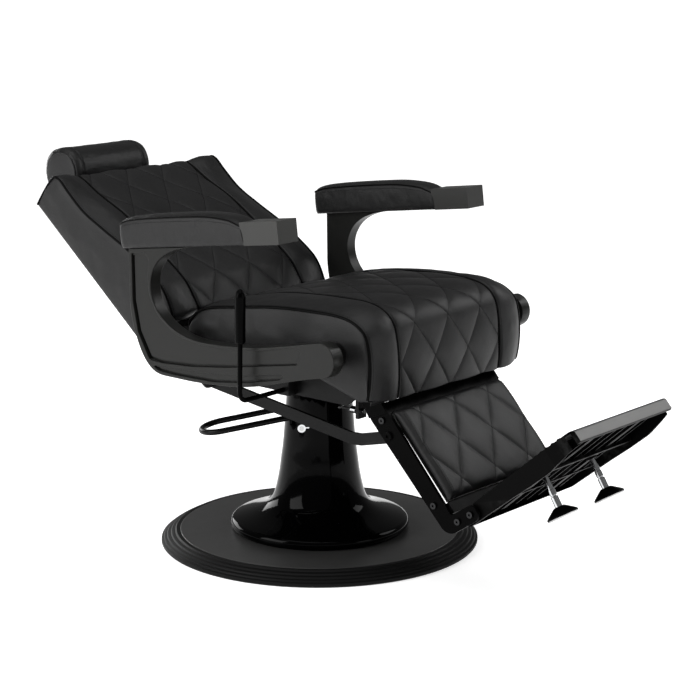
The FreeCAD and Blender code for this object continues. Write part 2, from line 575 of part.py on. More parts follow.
# ======================================================================
# Recline lever: shaft under the seat, upright rod and grip
# ======================================================================
lx, ly, lz, rr_ = D["lever_x"], D["lever_y"], D["lever_z"], D["rod_radius"]
p0, p1, p2 = V(-186, ly, lz), V(-lx, ly, lz), V(-lx, ly - 4.0, 600)
bend = 20.0
d1 = (p0 - p1)
d1.normalize()
d2 = (p2 - p1)
d2.normalize()
angb = math.acos(d1.dot(d2))
tt = bend / math.tan(angb / 2)
q1, q2 = p1 + d1 * tt, p1 + d2 * tt
bis = d1 + d2
bis.normalize()
cen = p1 + bis * (bend / math.sin(angb / 2))
path = Part.Wire([Part.LineSegment(p0, q1).toShape(), Part.Arc(q1, cen - bis * bend, q2).toShape(), Part.LineSegment(q2, p2).toShape()])
lrod = path.makePipeShell([Part.Wire([Part.Circle(p0, V(1, 0, 0), rr_).toShape()])], True, False)
lrod = lrod.fuse(Part.makeCylinder(8.0, 4.0, V(-190, ly, lz), V(1, 0, 0)))
arm_l0 = Part.makeBox(4.0, 12.0, 30.0, V(-190, ly - 6, lz - 26))
lrod = lrod.fuse(arm_l0).removeSplitter()
keep(raw("lever_rod_body", lrod), "recline_lever_rod")
gr = D["grip_radius"]
grip_pts = [(rr_ + 0.0, 0), (gr - 1.5, 0, 1), (gr, 3, 2), (gr, 96, 30), (gr - 2, 104, 6), (4, 110, 6), (0, 110.5), (0, 86.4), (rr_, 86.4)]
grip = turned("grip_turned", grip_pts)
grip.Placement = Placement(V(-lx, ly - 4.0 * (514 - lz) / (600 - lz), 514), Rotation(V(0, 0, 1), p2 - p1))
keep(grip, "lever_grip")

# ======================================================================
# Back: frame, board, rear cover, cushion
# ======================================================================
oy, oz, lean = D["back_o_y"], D["back_o_z"], D["back_lean"]
BK = Placement(V(0, oy, oz), Rotation(V(1, 0, 0), lean))
BKI = BK.inverse()


def bl(y, z):
    p = BKI.multVec(V(0, y, z))
    return p.y, p.z


by_, bz_ = bl(BY, BZ)
ey_, ez_ = bl(EY, EZ)
bi = D["back_in"]
bplate_loop = [(by_ - 22, bz_ + 10, 20), (by_ - 10, bz_ + 24, 20), (by_ + 30, bz_ + 20, 20), (-10, 34, 20), (330, 34, 4), (330, 12, 4), (-20, 12, 20), (-60, 10, 20), (ey_ - 4, ez_ - 14, 12), (ey_ - 17, ez_ + 4, 12)]
bph = [(by_, bz_, HR), (ey_, ez_, KR)]
bfR = slab("back_plate_right", [bplate_loop], 0, "Dims.plate_t", bph)
bfR.Placement = BK.multiply(Placement(V(-(bi + pt), 0, 0), Rotation()))
bfL = slab("back_plate_left", [bplate_loop], 0, "Dims.plate_t", bph)
bfL.Placement = BK.multiply(Placement(V(bi, 0, 0), Rotation()))
bx1 = box("back_bar_low", (2 * bi, 30.0, 14.0), BK.multiply(Placement(V(0, 20, 14), Rotation())))
bx2 = box("back_bar_high", (2 * bi, 30.0, 14.0), BK.multiply(Placement(V(0, 296, 14), Rotation())))

socket_out = box("headrest_socket_outer", (58.0, 226.0, 21.0), BK.multiply(Placement(V(0, 150, 12.5), Rotation())))
socket_in = box("headrest_socket_inner", (46.4, 230.0, 8.4), BK.multiply(Placement(V(0, 148, 18.8), Rotation())))
bfr = fuse("back_frame_fused", [bfR, bfL, bx1, bx2])
bfr_c = cut("back_frame_cut", bfr, [box("socket_pass", (58.2, 40.0, 21.4), BK.multiply(Placement(V(0, 290, 12.3), Rotation())))])
keep(bfr_c, "back_frame")
keep(cut("headrest_socket_cut", socket_out, [socket_in]), "headrest_socket")
keep(box("back_board_box", (440.0, 364.0, 10.0), BK.multiply(Placement(V(0, 12, 35.5), Rotation()))), "back_board")
keep(box("back_cover_box", (450.0, 410.0, 6.0), BK.multiply(Placement(V(0, -34, 0.5), Rotation()))), "back_rear_cover")

bc_side = [(-52, 0, 6), (400, 0, 24), (403, 88, 14), (383, 97, 60), (289, 97, 200), (139, 128, 200), (23, 138, 120), (-40, 128, 14), (-38, 100, 20), (-50, 40, 20)]
bc_core = [(-50, 20, 6), (400, 20, 10), (404, 84, 10), (388, 94, 30), (328, 99, 200), (234, 123, 200), (92, 138, 200), (30, 139, 120), (-46, 128, 10), (-38, 100, 20), (-44, 60, 10)]
bcs = slab("back_cushion_sides", [bc_side], 0, "2 * Dims.back_half")
bcs.Placement = BK.multiply(Placement(V(-D["back_half"], 0, 0), Rotation()))
bcc = slab("back_cushion_core", [bc_core], 0, 360.0)
bcc.Placement = BK.multiply(Placement(V(-180, 0, 0), Rotation()))
bcf = fuse("back_cushion_fused", [bcs, bcc])
bcav = box("back_cavity", (456.0, 470.0, 86.0), BK.multiply(Placement(V(0, -90, -40), Rotation())))
bslot = box("back_post_slot", (52.0, 60.0, 14.0), BK.multiply(Placement(V(0, 370, 16), Rotation())))
# room for the hinge ears and the rear arm bosses below the cushion's lower edge
bnotch = slab("back_notch", [[(-120, -10), (-120, 104), (-30, 104, 20), (8, 56, 10), (8, -10)]], 0, 436.0)
bnotch.Placement = BK.multiply(Placement(V(-218, 0, 0), Rotation()))
keep(cut("back_cushion_cut", bcf, [bcav, bslot, bnotch]), "back_cushion")

# link cross tube between the back plates, and hinge pins


def pin(x0, x1, y, z, r, hx=None, hr=0, ht=0):
    a, b = min(x0, x1), max(x0, x1)
    s = Part.makeCylinder(r, b - a, V(a, y, z), V(1, 0, 0))
    if hx is not None:
        s = s.fuse(Part.makeCylinder(hr, ht, V(hx, y, z), V(1, 0, 0)))
    return s


bp = []
for s in (-1, 1):
    bp.append(pin(s * (ri + pt), s * (bi - 3.0), BY, BZ, PR, (s * (ri + pt) if s > 0 else -(ri + pt) - 4.0), PR + 4, 4.0)
              .fuse(pin(s * (bi - 3.0), s * (bi - 0.6), BY, BZ, PR + 3)))
keep(raw("back_pins_set", Part.makeCompound(bp)), "back_hinge_pins")
li = D["link_in"]
ep = []
for s in (-1, 1):
    ep.append(pin(s * (bi + pt), s * (li - 2.0), EY, EZ, KR, (s * (bi + pt) if s > 0 else -(bi + pt) - 3.0), KR + 3, 3.0)
              .fuse(pin(s * (li - 3.4), s * (li - 0.6), EY, EZ, KR + 3)))
keep(raw("rear_pins_set", Part.makeCompound(ep)), "link_rear_pins")

# headrest: flat post in the socket, padded roll above
hy0 = bl(672.0, 772.0)
post = box("headrest_post_box", (46.0, 300.0, 8.0), BK.multiply(Placement(V(0, 186, 19), Rotation())))
keep(post, "headrest_post")
rc = BK.multVec(V(0, hy0[0], hy0[1]))
roll = Part.makeCylinder(D["roll_radius"], 2 * D["roll_half"], V(-D["roll_half"], rc.y, rc.z), V(1, 0, 0))
roll = roll.makeFillet(16.0, [e for e in roll.Edges if e.Curve.TypeId == "Part::GeomCircle"])
slotp = Part.makeBox(46.6, 120.0, 8.6, V(-23.3, 0, 0))
slotp.Placement = BK.multiply(Placement(V(0, 380, 18.7), Rotation()))
roll = roll.cut(slotp)
keep(raw("headrest_roll", roll), "headrest_cushion")

# ======================================================================
# Leg rest: bent side plates, crossbars, calf pad, footplate
# ======================================================================
gi = D["leg_in"]
leg_loop = [(-254.5, 483, 19.9), (-294.5, 483, 19.9), (-318, 402, 12), (-498, 190, 6), (-550.7, 224.5, 15), (-569.5, 196.3, 15), (-491.6, 144.3, 28), (-298, 352, 25), (-254.5, 425, 20)]
foot_bolts = [(-516.0, 181.0), (-546.0, 201.0)]
bar_bolts = [(-326.0, 357.0), (-457.0, 203.0)]


def legplate(name, sgn):
    x0 = -(gi + pt) if sgn < 0 else gi
    holes = [(PY, PZ, KR)] + [(y, z, 4.1) for y, z in foot_bolts + bar_bolts]
    low = slab(name + "_low", [leg_loop], x0, "Dims.plate_t", holes + [(LY, LZ, HR)])
    cutter = slab(name + "_trim", [[(-420, 402), (-340, 402), (-240, 362), (-200, 362), (-200, 520), (-420, 520)]], x0 - 1 if sgn < 0 else x0 - 1, 10.0)
    low_c = cut(name + "_lowcut", low, [cutter])
    x1 = x0 + sgn * 4.0
    head = slab(name + "_head", [leg_loop], x1, "Dims.plate_t", [(LY, LZ, HR)])
    cutter2 = slab(name + "_trim2", [[(-620, 100), (-620, 378), (-344, 378), (-250, 338), (-200, 338), (-200, 100)]], x1 - 1, 10.0)
    head_c = cut(name + "_headcut", head, [cutter2])
    return fuse(name + "_fused", [low_c, head_c])


lpr = keep(legplate("leg_plate_r", -1), "leg_plate_right")
lpl = keep(legplate("leg_plate_l", 1), "leg_plate_left")

LG = Placement(V(0, -498, 190), Rotation(V(1, 0, 0), D["leg_lean"]))
keep(box("leg_bar_up", ("2 * Dims.leg_in", 24.0, 8.0), LG.multiply(Placement(V(-gi, 243, -4), Rotation())), False), "leg_crossbar_upper")
keep(box("leg_bar_low", ("2 * Dims.leg_in", 24.0, 8.0), LG.multiply(Placement(V(-gi, 2, -2), Rotation())), False), "leg_crossbar_lower")
keep(box("calf_board_box", (336.0, 214.0, 8.0), LG.multiply(Placement(V(0, 27.5, -10), Rotation()))), "calf_board")
calf = Part.makeBox(366.0, 214.0, 21.0, V(-183, 27.5, -1.5))
calf = calf.makeFillet(7.0, [e for e in calf.Edges if e.BoundBox.ZMin > 19.0])
calf.Placement = LG
keep(raw("calf_pad_body", calf), "calf_pad")

FT = Placement(V(0, -535, 213), Rotation(V(1, 0, 0), -41.1))
fh, tt_ = D["foot_half"], D["tread_t"]
fside = [(-12, 0, 2), (-290, -5.5, 3), (-298, -10, 4), (-298, -33, 2), (-256, -40, 40), (-209, -46, 60), (-153, -44, 60), (-97, -40, 60), (-40, -37, 60), (22, -34, 6), (40, -20, 8), (44, -4, 3), (-12, -4, 2)]
fbody = slab("foot_body", [fside], -fh, "2 * Dims.foot_half")
fcav = slab("foot_cavity", [[(-290, -10, 2), (-290, -60), (-256, -60), (12, -60), (12, -44), (28, -24, 3), (30, -9.5, 2), (-12, -9.5)]], -fh + 7.0, 2 * fh - 14.0)
FTI = FT
for o in (fbody, fcav):
    o.Placement = FT.multiply(o.Placement)
ribs = []
for i, xr in enumerate((-120, -86, -40, 0, 40, 86, 120)):
    w = 16.0 if abs(xr) == 86 else 4.0
    ribs.append(box("foot_rib_%d" % i, (w, 296.0, 20.0), FT.multiply(Placement(V(xr, -292, -28), Rotation()))))
ribs.append(box("foot_crossrib", (2 * fh - 10.0, 6.0, 26.0), FT.multiply(Placement(V(0, -171, -34), Rotation()))))
ribs.append(box("foot_crossrib_b", (2 * fh - 10.0, 5.0, 22.0), FT.multiply(Placement(V(0, -70, -30), Rotation()))))
# raised tread bars across the top
treads = []
for i in range(16):
    y = -262 + i * 15.6
    t = Part.makeCylinder(4.2, 2 * fh - 3.0, V(-fh + 1.5, y, 0.2 + 5.0 * (y + 12) / 278.0 - 3.2), V(1, 0, 0))
    treads.append(t)
tset = treads[0].multiFuse(treads[1:])
tset.Placement = FT
tset_o = raw("foot_tread_bars", tset)
shell0 = cut("foot_hollow", fbody, [fcav])
foot_all = fuse("foot_fused", [shell0, tset_o] + ribs)
# feet screw into bosses under the tread, plumb when the leg rest hangs down
fdir = V(0, -0.5255, -0.8508)
fboss = []
FBP = [V(s * 86.0, -646.0, 276.0) for s in (-1, 1)]
for k, p in enumerate(FBP):
    fboss.append(raw("foot_boss_%d" % k, Part.makeCylinder(12.0, 30.0, p - fdir * 26.0, fdir)))
foot_b = fuse("foot_with_bosses", [foot_all] + fboss)
stem_cut = [raw("foot_stem_hole_%d" % k, Part.makeCylinder(D["stem_radius"] + 0.05, 70.0, p - fdir * 19.5, fdir)) for k, p in enumerate(FBP)]
# corners at the front rounded in plan
corner = []
for s in (-1, 1):
    tri = Part.Face(Part.makePolygon([V(s * (fh + 1), -220, -80), V(s * (fh + 1), -320, -80), V(s * (fh - 26), -320, -80), V(s * (fh - 12), -292, -80), V(s * (fh - 8), -284, -80), V(s * (fh + 1), -220, -80)])).extrude(V(0, 0, 100))
    tri.Placement = FT
    corner.append(raw("foot_corner_%d" % (s + 1), tri))
fb_holes = [cyl("foot_bolt_hole_%d" % i, 4.0, 2 * fh + 10, alongx(-fh - 5, y, z)) for i, (y, z) in enumerate(foot_bolts)]
keep(cut("footplate_cut", foot_b, stem_cut + corner + fb_holes), "footplate")


def footbolt(sgn, y, z, x_in):
    a = sgn * (gi + pt)
    b = sgn * x_in
    s = Part.makeCylinder(4.0, abs(a - b), V(min(a, b), y, z), V(1, 0, 0))
    hx = a if sgn > 0 else a - 4.0
    hd = Part.makeCylinder(6.6, 4.0, V(hx, y, z), V(1, 0, 0))
    sock = Part.makeCylinder(2.6, 2.6, V(a + sgn * 4.0 - (2.6 if sgn > 0 else 0), y, z), V(1, 0, 0))
    return s.fuse(hd).cut(sock)


keep(raw("leg_bolts_set", Part.makeCompound([footbolt(s, y, z, 177.5) for s in (-1, 1) for y, z in foot_bolts]
                                            + [footbolt(s, y, z, gi + 0.2) for s in (-1, 1) for y, z in bar_bolts])), "leg_rest_bolts")
lp = []
for s in (-1, 1):
    lp.append(pin(s * (ri + pt), s * (gi + 1.0), LY, LZ, PR, (s * (ri + pt) if s > 0 else -(ri + pt) - 4.0), PR + 4, 4.0))
keep(raw("leg_pins_set", Part.makeCompound(lp)), "leg_hinge_pins")
fp = []
for s in (-1, 1):
    q = pin(s * (gi + pt), s * (li - 3.0), PY, PZ, KR, (s * (gi + pt) if s > 0 else -(gi + pt) - 5.0), KR + 3.4, 5.0)
    q = q.fuse(pin(s * (li - 3.4), s * (li - 0.8), PY, PZ, KR + 3.4))
    a = s * (gi + pt + 5.0)
    q = q.cut(Part.makeCylinder(3.2, 3.0, V(a - (3.0 if s > 0 else 0), PY, PZ), V(1, 0, 0)))
    fp.append(q)
keep(raw("front_pins_set", Part.makeCompound(fp)), "link_front_pins")

# levelling feet: chrome stem with a fluted collar, and a conical pad
for sgn, side in ((-1, "right"), (1, "left")):
    p = V(sgn * 86.0, -646.0, 276.0)
    sr, fr_ = D["stem_radius"], D["foot_radius"]
    st = turned("foot_stem_" + side + "_turned", [(0, -14), (sr, -14, 1), (sr, 31), (sr + 0.9, 31.5, 0.4), (sr + 0.9, 44, 0.8), (sr - 1.2, 44.5), (sr - 1.2, 46), (sr + 1.3, 46.4, 0.6), (sr + 1.3, 68), (sr - 2.5, 68), (sr - 2.5, 76), (0, 76)])
    st.Placement = Placement(p, Rotation(V(0, 0, 1), fdir))
    keep(st, "leveller_stem_" + side)
    fd = turned("foot_pad_" + side + "_turned", [(sr - 2.5, 68), (10.5, 68, 2), (14, 70, 2), (fr_ - 2, 82.5, 2), (fr_, 85, 1), (fr_, 88.5, 1.5), (fr_ - 1.5, 90, 1), (0, 90), (0, 76), (sr - 2.5, 76)])
    fd.Placement = Placement(p, Rotation(V(0, 0, 1), fdir))
    keep(fd, "leveller_pad_" + side)

# ======================================================================
# Link bars from the back frame to the leg rest
# ======================================================================
OG = D["open_gap"]


def chain(pts, w):
    out = None
    for i in range(len(pts) - 1):
        a, b = V(0, *pts[i]), V(0, *pts[i + 1])
        d = b - a
        L = d.Length
        d.normalize()
        n = V(0, -d.z, d.y)
        f = Part.Face(Part.makePolygon([a + n * w, b + n * w, b - n * w, a - n * w, a + n * w])).extrude(V(8, 0, 0))
        out = f if out is None else out.fuse(f)
    for p_ in pts:
        out = out.fuse(Part.makeCylinder(w, 8, V(0, *p_), V(1, 0, 0)))
    return out.removeSplitter()


link_shape = chain([(EY, EZ), (-238, 303.5), (-262, 304.5), (PY, PZ - 4.0)], 12.5)
link_shape = link_shape.cut(Part.makeCylinder(KH, 20, V(-5, EY, EZ), V(1, 0, 0))).cut(Part.makeCylinder(KR + OG, 20, V(-5, PY, PZ), V(1, 0, 0)))
for sgn, side in ((-1, "right"), (1, "left")):
    q = link_shape.copy()
    q.translate(V(-(li + 8.0) if sgn < 0 else li, 0, 0))
    keep(raw("link_" + side + "_body", q), "link_bar_" + side)

# ======================================================================
# Locking gas spring under the seat
# ======================================================================
gx = 150.0
F = V(gx, -206.0, 434.0)
E = V(gx, EY, EZ)
gd = E - F
GL = gd.Length
gd.normalize()
cylbody = Part.makeCylinder(11.0, 190.0, F + gd * 14.0, gd).cut(Part.makeCylinder(4.06, 210.0, F + gd * 60.0, gd)).cut(Part.makeCylinder(8.0, 130.0, F + gd * 60.0, gd))
eye = Part.makeCylinder(9.5, 21.0, V(gx - 10.5, F.y, F.z), V(1, 0, 0))
cylbody = cylbody.fuse(eye).fuse(Part.makeCylinder(6.0, 20.0, F, gd)).cut(Part.makeCylinder(5.05, 40.0, V(gx - 20, F.y, F.z), V(1, 0, 0)))
keep(raw("gas_cylinder_body", cylbody.removeSplitter()), "gas_spring_cylinder")
rod = Part.makeCylinder(4.0, GL - 11.0 - 100.0, F + gd * 100.0, gd)
rod = rod.fuse(Part.makeCylinder(7.6, 8.0, F + gd * 100.0, gd))
# its eye is a slot square to the rod, round the back frame's cross tube
gn = V(0, -gd.z, gd.y)


def slot_solid(r, half, x0, w):
    a, b = E + gn * half, E - gn * half
    t = gd * r
    f = Part.Face(Part.makePolygon([V(x0, (a + t).y, (a + t).z), V(x0, (b + t).y, (b + t).z), V(x0, (b - t).y, (b - t).z),
                                    V(x0, (a - t).y, (a - t).z), V(x0, (a + t).y, (a + t).z)])).extrude(V(w, 0, 0))
    return f.fuse(Part.makeCylinder(r, w, V(x0, a.y, a.z), V(1, 0, 0))).fuse(Part.makeCylinder(r, w, V(x0, b.y, b.z), V(1, 0, 0)))


rod = rod.fuse(slot_solid(13.5, 6.5, gx - 6.0, 12.0)).cut(slot_solid(9.6, 6.5, gx - 15.0, 30.0))
keep(raw("gas_rod_body", rod.removeSplitter()), "gas_spring_rod")
gp = Part.makeCylinder(5.0, 33.0, V(gx - 16.0, F.y, F.z), V(1, 0, 0)).fuse(Part.makeCylinder(7.5, 3.0, V(gx + 16.0, F.y, F.z), V(1, 0, 0)))
keep(raw("gas_pin_body", gp), "gas_spring_pin")
keep(raw("link_tube_body", Part.makeCylinder(8.0, 2 * (li - 3.4), V(-(li - 3.4), EY, EZ), V(1, 0, 0))), "link_cross_tube")

# release cable: threaded chrome adjuster in a tab at the front, cable back and
# across under the seat to a clip beside the gas spring's head
adj = Part.makeCylinder(5.0, 34.0, V(-150, -246, 355), V(0, 1, 0))
hexes = [V(-150 + 9.0 * math.cos(math.radians(60 * i)), -232, 355 + 9.0 * math.sin(math.radians(60 * i))) for i in range(7)]
adj = adj.fuse(Part.Face(Part.makePolygon(hexes)).extrude(V(0, 6.5, 0)))
for i in range(6):
    adj = adj.fuse(Part.makeCylinder(7.6, 1.5, V(-150, -224.5 + 2.1 * i, 355), V(0, 1, 0)))
adj = adj.fuse(Part.makeCylinder(6.6, 13.5, V(-150, -225.5, 355), V(0, 1, 0)))
keep(raw("cable_adjuster_body", adj.removeSplitter()), "cable_adjuster")
route = [V(-150, -212, 355), V(-150, -186, 355), V(-128, -157, 345), V(-84, -140, 343), V(-34, -136, 347), V(16, -139, 351),
         V(64, -147, 357), V(102, -163, 368), V(124, -188, 386), V(129, -206, 406), V(129, -206, 428)]
segs = []
here = route[0]
radii = []
for i in range(1, len(route) - 1):
    a = route[i - 1] - route[i]
    b = route[i + 1] - route[i]
    la, lb = a.Length, b.Length
    a.normalize()
    b.normalize()
    half = math.acos(a.dot(b)) / 2
    t = 0.45 * min(la, lb)
    r = t * math.tan(half)
    radii.append(round(r, 1))
    bis = a + b
    bis.normalize()
    c = route[i] + bis * (r / math.sin(half))
    s1, s2 = route[i] + a * t, route[i] + b * t
    segs.append(Part.LineSegment(here, s1).toShape())
    segs.append(Part.Arc(s1, c - bis * r, s2).toShape())
    here = s2
segs.append(Part.LineSegment(here, route[-1]).toShape())
cable_path = Part.Wire(segs)
d0 = route[1] - route[0]
cable = cable_path.makePipeShell([Part.Wire([Part.Circle(route[0], d0, 2.5).toShape()])], True, False)
print("cable arc radii", radii, "length %.1f" % cable_path.Length, "volume ratio %.4f" % (cable.Volume / (math.pi * 6.25 * cable_path.Length)))
keep(raw("release_cable_body", cable), "release_cable")

# ======================================================================
doc.recompute()
bad = 0
for o in doc.Objects:
    st = [s for s in o.State if s in ("Invalid", "Error")]
    if st:
        print("BAD STATE", o.Name, o.Label, o.State)
        bad += 1
os.makedirs("parts", exist_ok=True)
for label, o in NODES:
    sh = o.Shape
    if sh.isNull() or not sh.isValid() or sh.Volume <= 0:
        print("BAD SHAPE", label, "null" if sh.isNull() else ("valid %s vol %.1f" % (sh.isValid(), sh.Volume)))
        bad += 1
        continue
    if not sh.Solids:
        print("NO SOLIDS", label)
        bad += 1
if bad:
    raise SystemExit("part not written: %d faults" % bad)
for label, o in NODES:
    o.Shape.exportStep("parts/%s.step" % label)
print(len(NODES), "nodes written")
for label, o in NODES:
    b = o.Shape.BoundBox
    print("%-24s solids %d vol %9.0f  x %.0f..%.0f y %.0f..%.0f z %.0f..%.0f" % (label, len(o.Shape.Solids), o.Shape.Volume, b.XMin, b.XMax, b.YMin, b.YMax, b.ZMin, b.ZMax))
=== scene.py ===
"""Looks of the reclining hydraulic chair: upholstery, stitching, finishes, studio light and camera."""
import json
import math
import random

import bpy
import numpy as np
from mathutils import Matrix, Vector

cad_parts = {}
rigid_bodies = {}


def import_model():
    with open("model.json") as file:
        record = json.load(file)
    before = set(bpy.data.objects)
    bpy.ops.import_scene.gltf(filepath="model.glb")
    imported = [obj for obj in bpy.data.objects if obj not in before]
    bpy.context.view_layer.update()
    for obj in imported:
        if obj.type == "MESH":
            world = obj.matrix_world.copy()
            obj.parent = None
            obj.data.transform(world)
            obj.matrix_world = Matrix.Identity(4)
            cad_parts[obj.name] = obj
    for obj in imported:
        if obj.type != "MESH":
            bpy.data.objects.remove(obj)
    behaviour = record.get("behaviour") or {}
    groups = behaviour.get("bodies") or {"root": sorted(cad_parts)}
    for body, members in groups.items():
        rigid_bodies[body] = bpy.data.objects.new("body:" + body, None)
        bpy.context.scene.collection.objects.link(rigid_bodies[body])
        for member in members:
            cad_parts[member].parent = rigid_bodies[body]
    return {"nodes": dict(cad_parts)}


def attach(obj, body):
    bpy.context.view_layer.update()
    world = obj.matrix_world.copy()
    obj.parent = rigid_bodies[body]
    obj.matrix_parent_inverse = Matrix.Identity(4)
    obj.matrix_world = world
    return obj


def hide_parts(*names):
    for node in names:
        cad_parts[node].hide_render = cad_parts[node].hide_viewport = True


for o in list(bpy.data.objects):
    bpy.data.objects.remove(o, do_unlink=True)
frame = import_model()
nodes = frame["nodes"]
bpy.context.view_layer.update()
MM = 0.001
random.seed(11)

# ---------------------------------------------------------------- camera
cam_data = bpy.data.cameras.new("camera")
cam_data.lens = 104.6
cam_data.sensor_width = 36.0
cam_data.clip_end = 300.0
cam = bpy.data.objects.new("camera", cam_data)
bpy.context.collection.objects.link(cam)
cam.location = (-3.3305, -2.7691, 1.3623)
look = Vector((0.0421, -0.0523, 0.4256)) - Vector(cam.location)
cam.rotation_euler = look.to_track_quat("-Z", "Y").to_euler()
bpy.context.scene.camera = cam


# ---------------------------------------------------------------- node helpers
class Mat:
    """A small builder round one node material."""

    def __init__(self, name):
        self.m = bpy.data.materials.new(name)
        self.m.use_nodes = True
        self.t = self.m.node_tree
        self.b = self.t.nodes["Principled BSDF"]
        self.co = self.t.nodes.new("ShaderNodeTexCoord").outputs["Object"]

    def node(self, kind, **props):
        n = self.t.nodes.new(kind)
        for k, v in props.items():
            setattr(n, k, v)
        return n

    def link(self, a, b):
        self.t.links.new(a, b)

    def noise(self, scale, detail=4.0, rough=0.55, stretch=None, distort=0.0):
        n = self.node("ShaderNodeTexNoise")
        n.inputs["Scale"].default_value = scale
        n.inputs["Detail"].default_value = detail
        n.inputs["Roughness"].default_value = rough
        n.inputs["Distortion"].default_value = distort
        if stretch:
            mp = self.node("ShaderNodeMapping")
            mp.inputs["Scale"].default_value = stretch
            self.link(self.co, mp.inputs["Vector"])
            self.link(mp.outputs["Vector"], n.inputs["Vector"])
        else:
            self.link(self.co, n.inputs["Vector"])
        return n.outputs["Fac"]

    def cells(self, scale, feature="F1", smooth=None):
        n = self.node("ShaderNodeTexVoronoi", feature=feature)
        n.inputs["Scale"].default_value = scale
        if smooth is not None:
            n.inputs["Smoothness"].default_value = smooth
        self.link(self.co, n.inputs["Vector"])
        return n.outputs["Distance"]

    def ramp(self, fac, stops):
        n = self.node("ShaderNodeValToRGB")
        e = n.color_ramp.elements
        while len(e) < len(stops):
            e.new(0.5)
        for el, (p, c) in zip(e, stops):
            el.position = p
            el.color = (*c, 1.0) if isinstance(c, tuple) else (c, c, c, 1.0)
        self.link(fac, n.inputs["Fac"])
        return n.outputs["Color"]

    def span(self, fac, a, b, lo=0.0, hi=1.0):
        n = self.node("ShaderNodeMapRange")
        n.inputs["From Min"].default_value = a
        n.inputs["From Max"].default_value = b
        n.inputs["To Min"].default_value = lo
        n.inputs["To Max"].default_value = hi
        self.link(fac, n.inputs["Value"])
        return n.outputs["Result"]

    def math(self, op, a, b):
        n = self.node("ShaderNodeMath", operation=op)
        for i, v in enumerate((a, b)):
            if isinstance(v, (int, float)):
                n.inputs[i].default_value = v
            else:
                self.link(v, n.inputs[i])
        return n.outputs[0]

    def bump(self, height, strength, dist, below=None):
        n = self.node("ShaderNodeBump")
        n.inputs["Strength"].default_value = strength
        n.inputs["Distance"].default_value = dist
        self.link(height, n.inputs["Height"])
        if below is not None:
            self.link(below, n.inputs["Normal"])
        return n.outputs["Normal"]

    def edge_wear(self, lo=0.53, hi=0.62):
        """0 on flats, 1 on worn outside edges."""
        g = self.node("ShaderNodeNewGeometry")
        return self.span(g.outputs["Pointiness"], lo, hi)

    def mixc(self, fac, a, b):
        n = self.node("ShaderNodeMix", data_type="RGBA")
        self.link(fac, n.inputs["Factor"])
        for i, c in ((6, a), (7, b)):
            if isinstance(c, tuple):
                n.inputs[i].default_value = (*c, 1.0)
            else:
                self.link(c, n.inputs[i])
        return n.outputs[2]

    def put(self, **sockets):
        names = {"color": "Base Color", "rough": "Roughness", "metal": "Metallic", "spec": "Specular IOR Level", "normal": "Normal",
                 "coat": "Coat Weight", "coat_rough": "Coat Roughness", "ior": "IOR", "sheen": "Sheen Weight", "sheen_rough": "Sheen Roughness"}
        for k, v in sockets.items():
            s = self.b.inputs[names[k]]
            if isinstance(v, (int, float)):
                s.default_value = v
            elif isinstance(v, tuple):
                s.default_value = (*v, 1.0)
            else:
                self.link(v, s)
        return self.m


def leather(name, dark, light, rough=0.44, spec=0.32, grain=0.35):
    """Soft coated leather: pebbled grain, finer pores, slow cloudy variation and slightly polished high spots."""
    m = Mat(name)
    cloud = m.noise(7.0, 3.0, 0.5)
    fleck = m.noise(160.0, 3.0, 0.6)
    mixed = m.math("ADD", m.math("MULTIPLY", cloud, 0.7), m.math("MULTIPLY", fleck, 0.3))
    col = m.ramp(mixed, [(0.3, dark), (0.7, light)])
    pebble = m.cells(640.0, "SMOOTH_F1", 0.6)
    pores = m.noise(1500.0, 2.0, 0.6)
    n = m.bump(pebble, grain, 0.0006)
    n = m.bump(pores, grain * 0.35, 0.0003, n)
    n = m.bump(m.noise(34.0, 4.0, 0.6, distort=0.6), 0.10, 0.0030, n)
    r = m.span(m.math("ADD", cloud, m.math("MULTIPLY", fleck, 0.35)), 0.3, 1.0, rough - 0.05, rough + 0.07)
    return m.put(color=col, rough=r, normal=n, spec=spec)


def paint(name, dark, light, rough, spec, peel=0.05, worn=None, coat=0.0, coat_rough=0.05, speck=420.0):
    """Sprayed or powder coated metal: fine orange peel, faint cloudiness, and lighter worn edges."""
    m = Mat(name)
    cloud = m.noise(5.0, 4.0, 0.55)
    fine = m.noise(speck, 2.0, 0.5)
    col = m.ramp(m.math("ADD", m.math("MULTIPLY", cloud, 0.75), m.math("MULTIPLY", fine, 0.25)), [(0.25, dark), (0.75, light)])
    if worn:
        w = m.math("MULTIPLY", m.edge_wear(), m.span(m.noise(30.0, 4.0, 0.65), 0.45, 0.62))
        col = m.mixc(w, col, worn)
    n = m.bump(fine, peel, 0.0004)
    smear = m.noise(26.0, 5.0, 0.7, stretch=(1.0, 1.0, 0.25))
    r = m.span(smear, 0.25, 0.8, rough - 0.025, rough + 0.03)
    return m.put(color=col, rough=r, normal=n, spec=spec, coat=coat, coat_rough=coat_rough)


def metal(name, tint, rough, scratch=0.12, stretch=(1.0, 1.0, 14.0)):
    m = Mat(name)
    lines = m.noise(90.0, 5.0, 0.7, stretch=stretch)
    col = m.ramp(m.noise(12.0, 3.0, 0.6), [(0.3, tuple(c * 0.82 for c in tint)), (0.7, tint)])
    r = m.span(lines, 0.3, 0.7, max(0.04, rough - 0.06), rough + 0.08)
    return m.put(color=col, rough=r, metal=1.0, normal=m.bump(lines, scratch, 0.0002))


def rubber(name, dark, light, rough=0.6, spec=0.25):
    m = Mat(name)
    col = m.ramp(m.noise(40.0, 4.0, 0.6), [(0.3, dark), (0.7, light)])
    return m.put(color=col, rough=m.span(m.noise(18.0, 4.0, 0.6), 0.3, 0.7, rough - 0.06, rough + 0.08), spec=spec,
                 normal=m.bump(m.noise(900.0, 3.0, 0.6), 0.16, 0.0004))


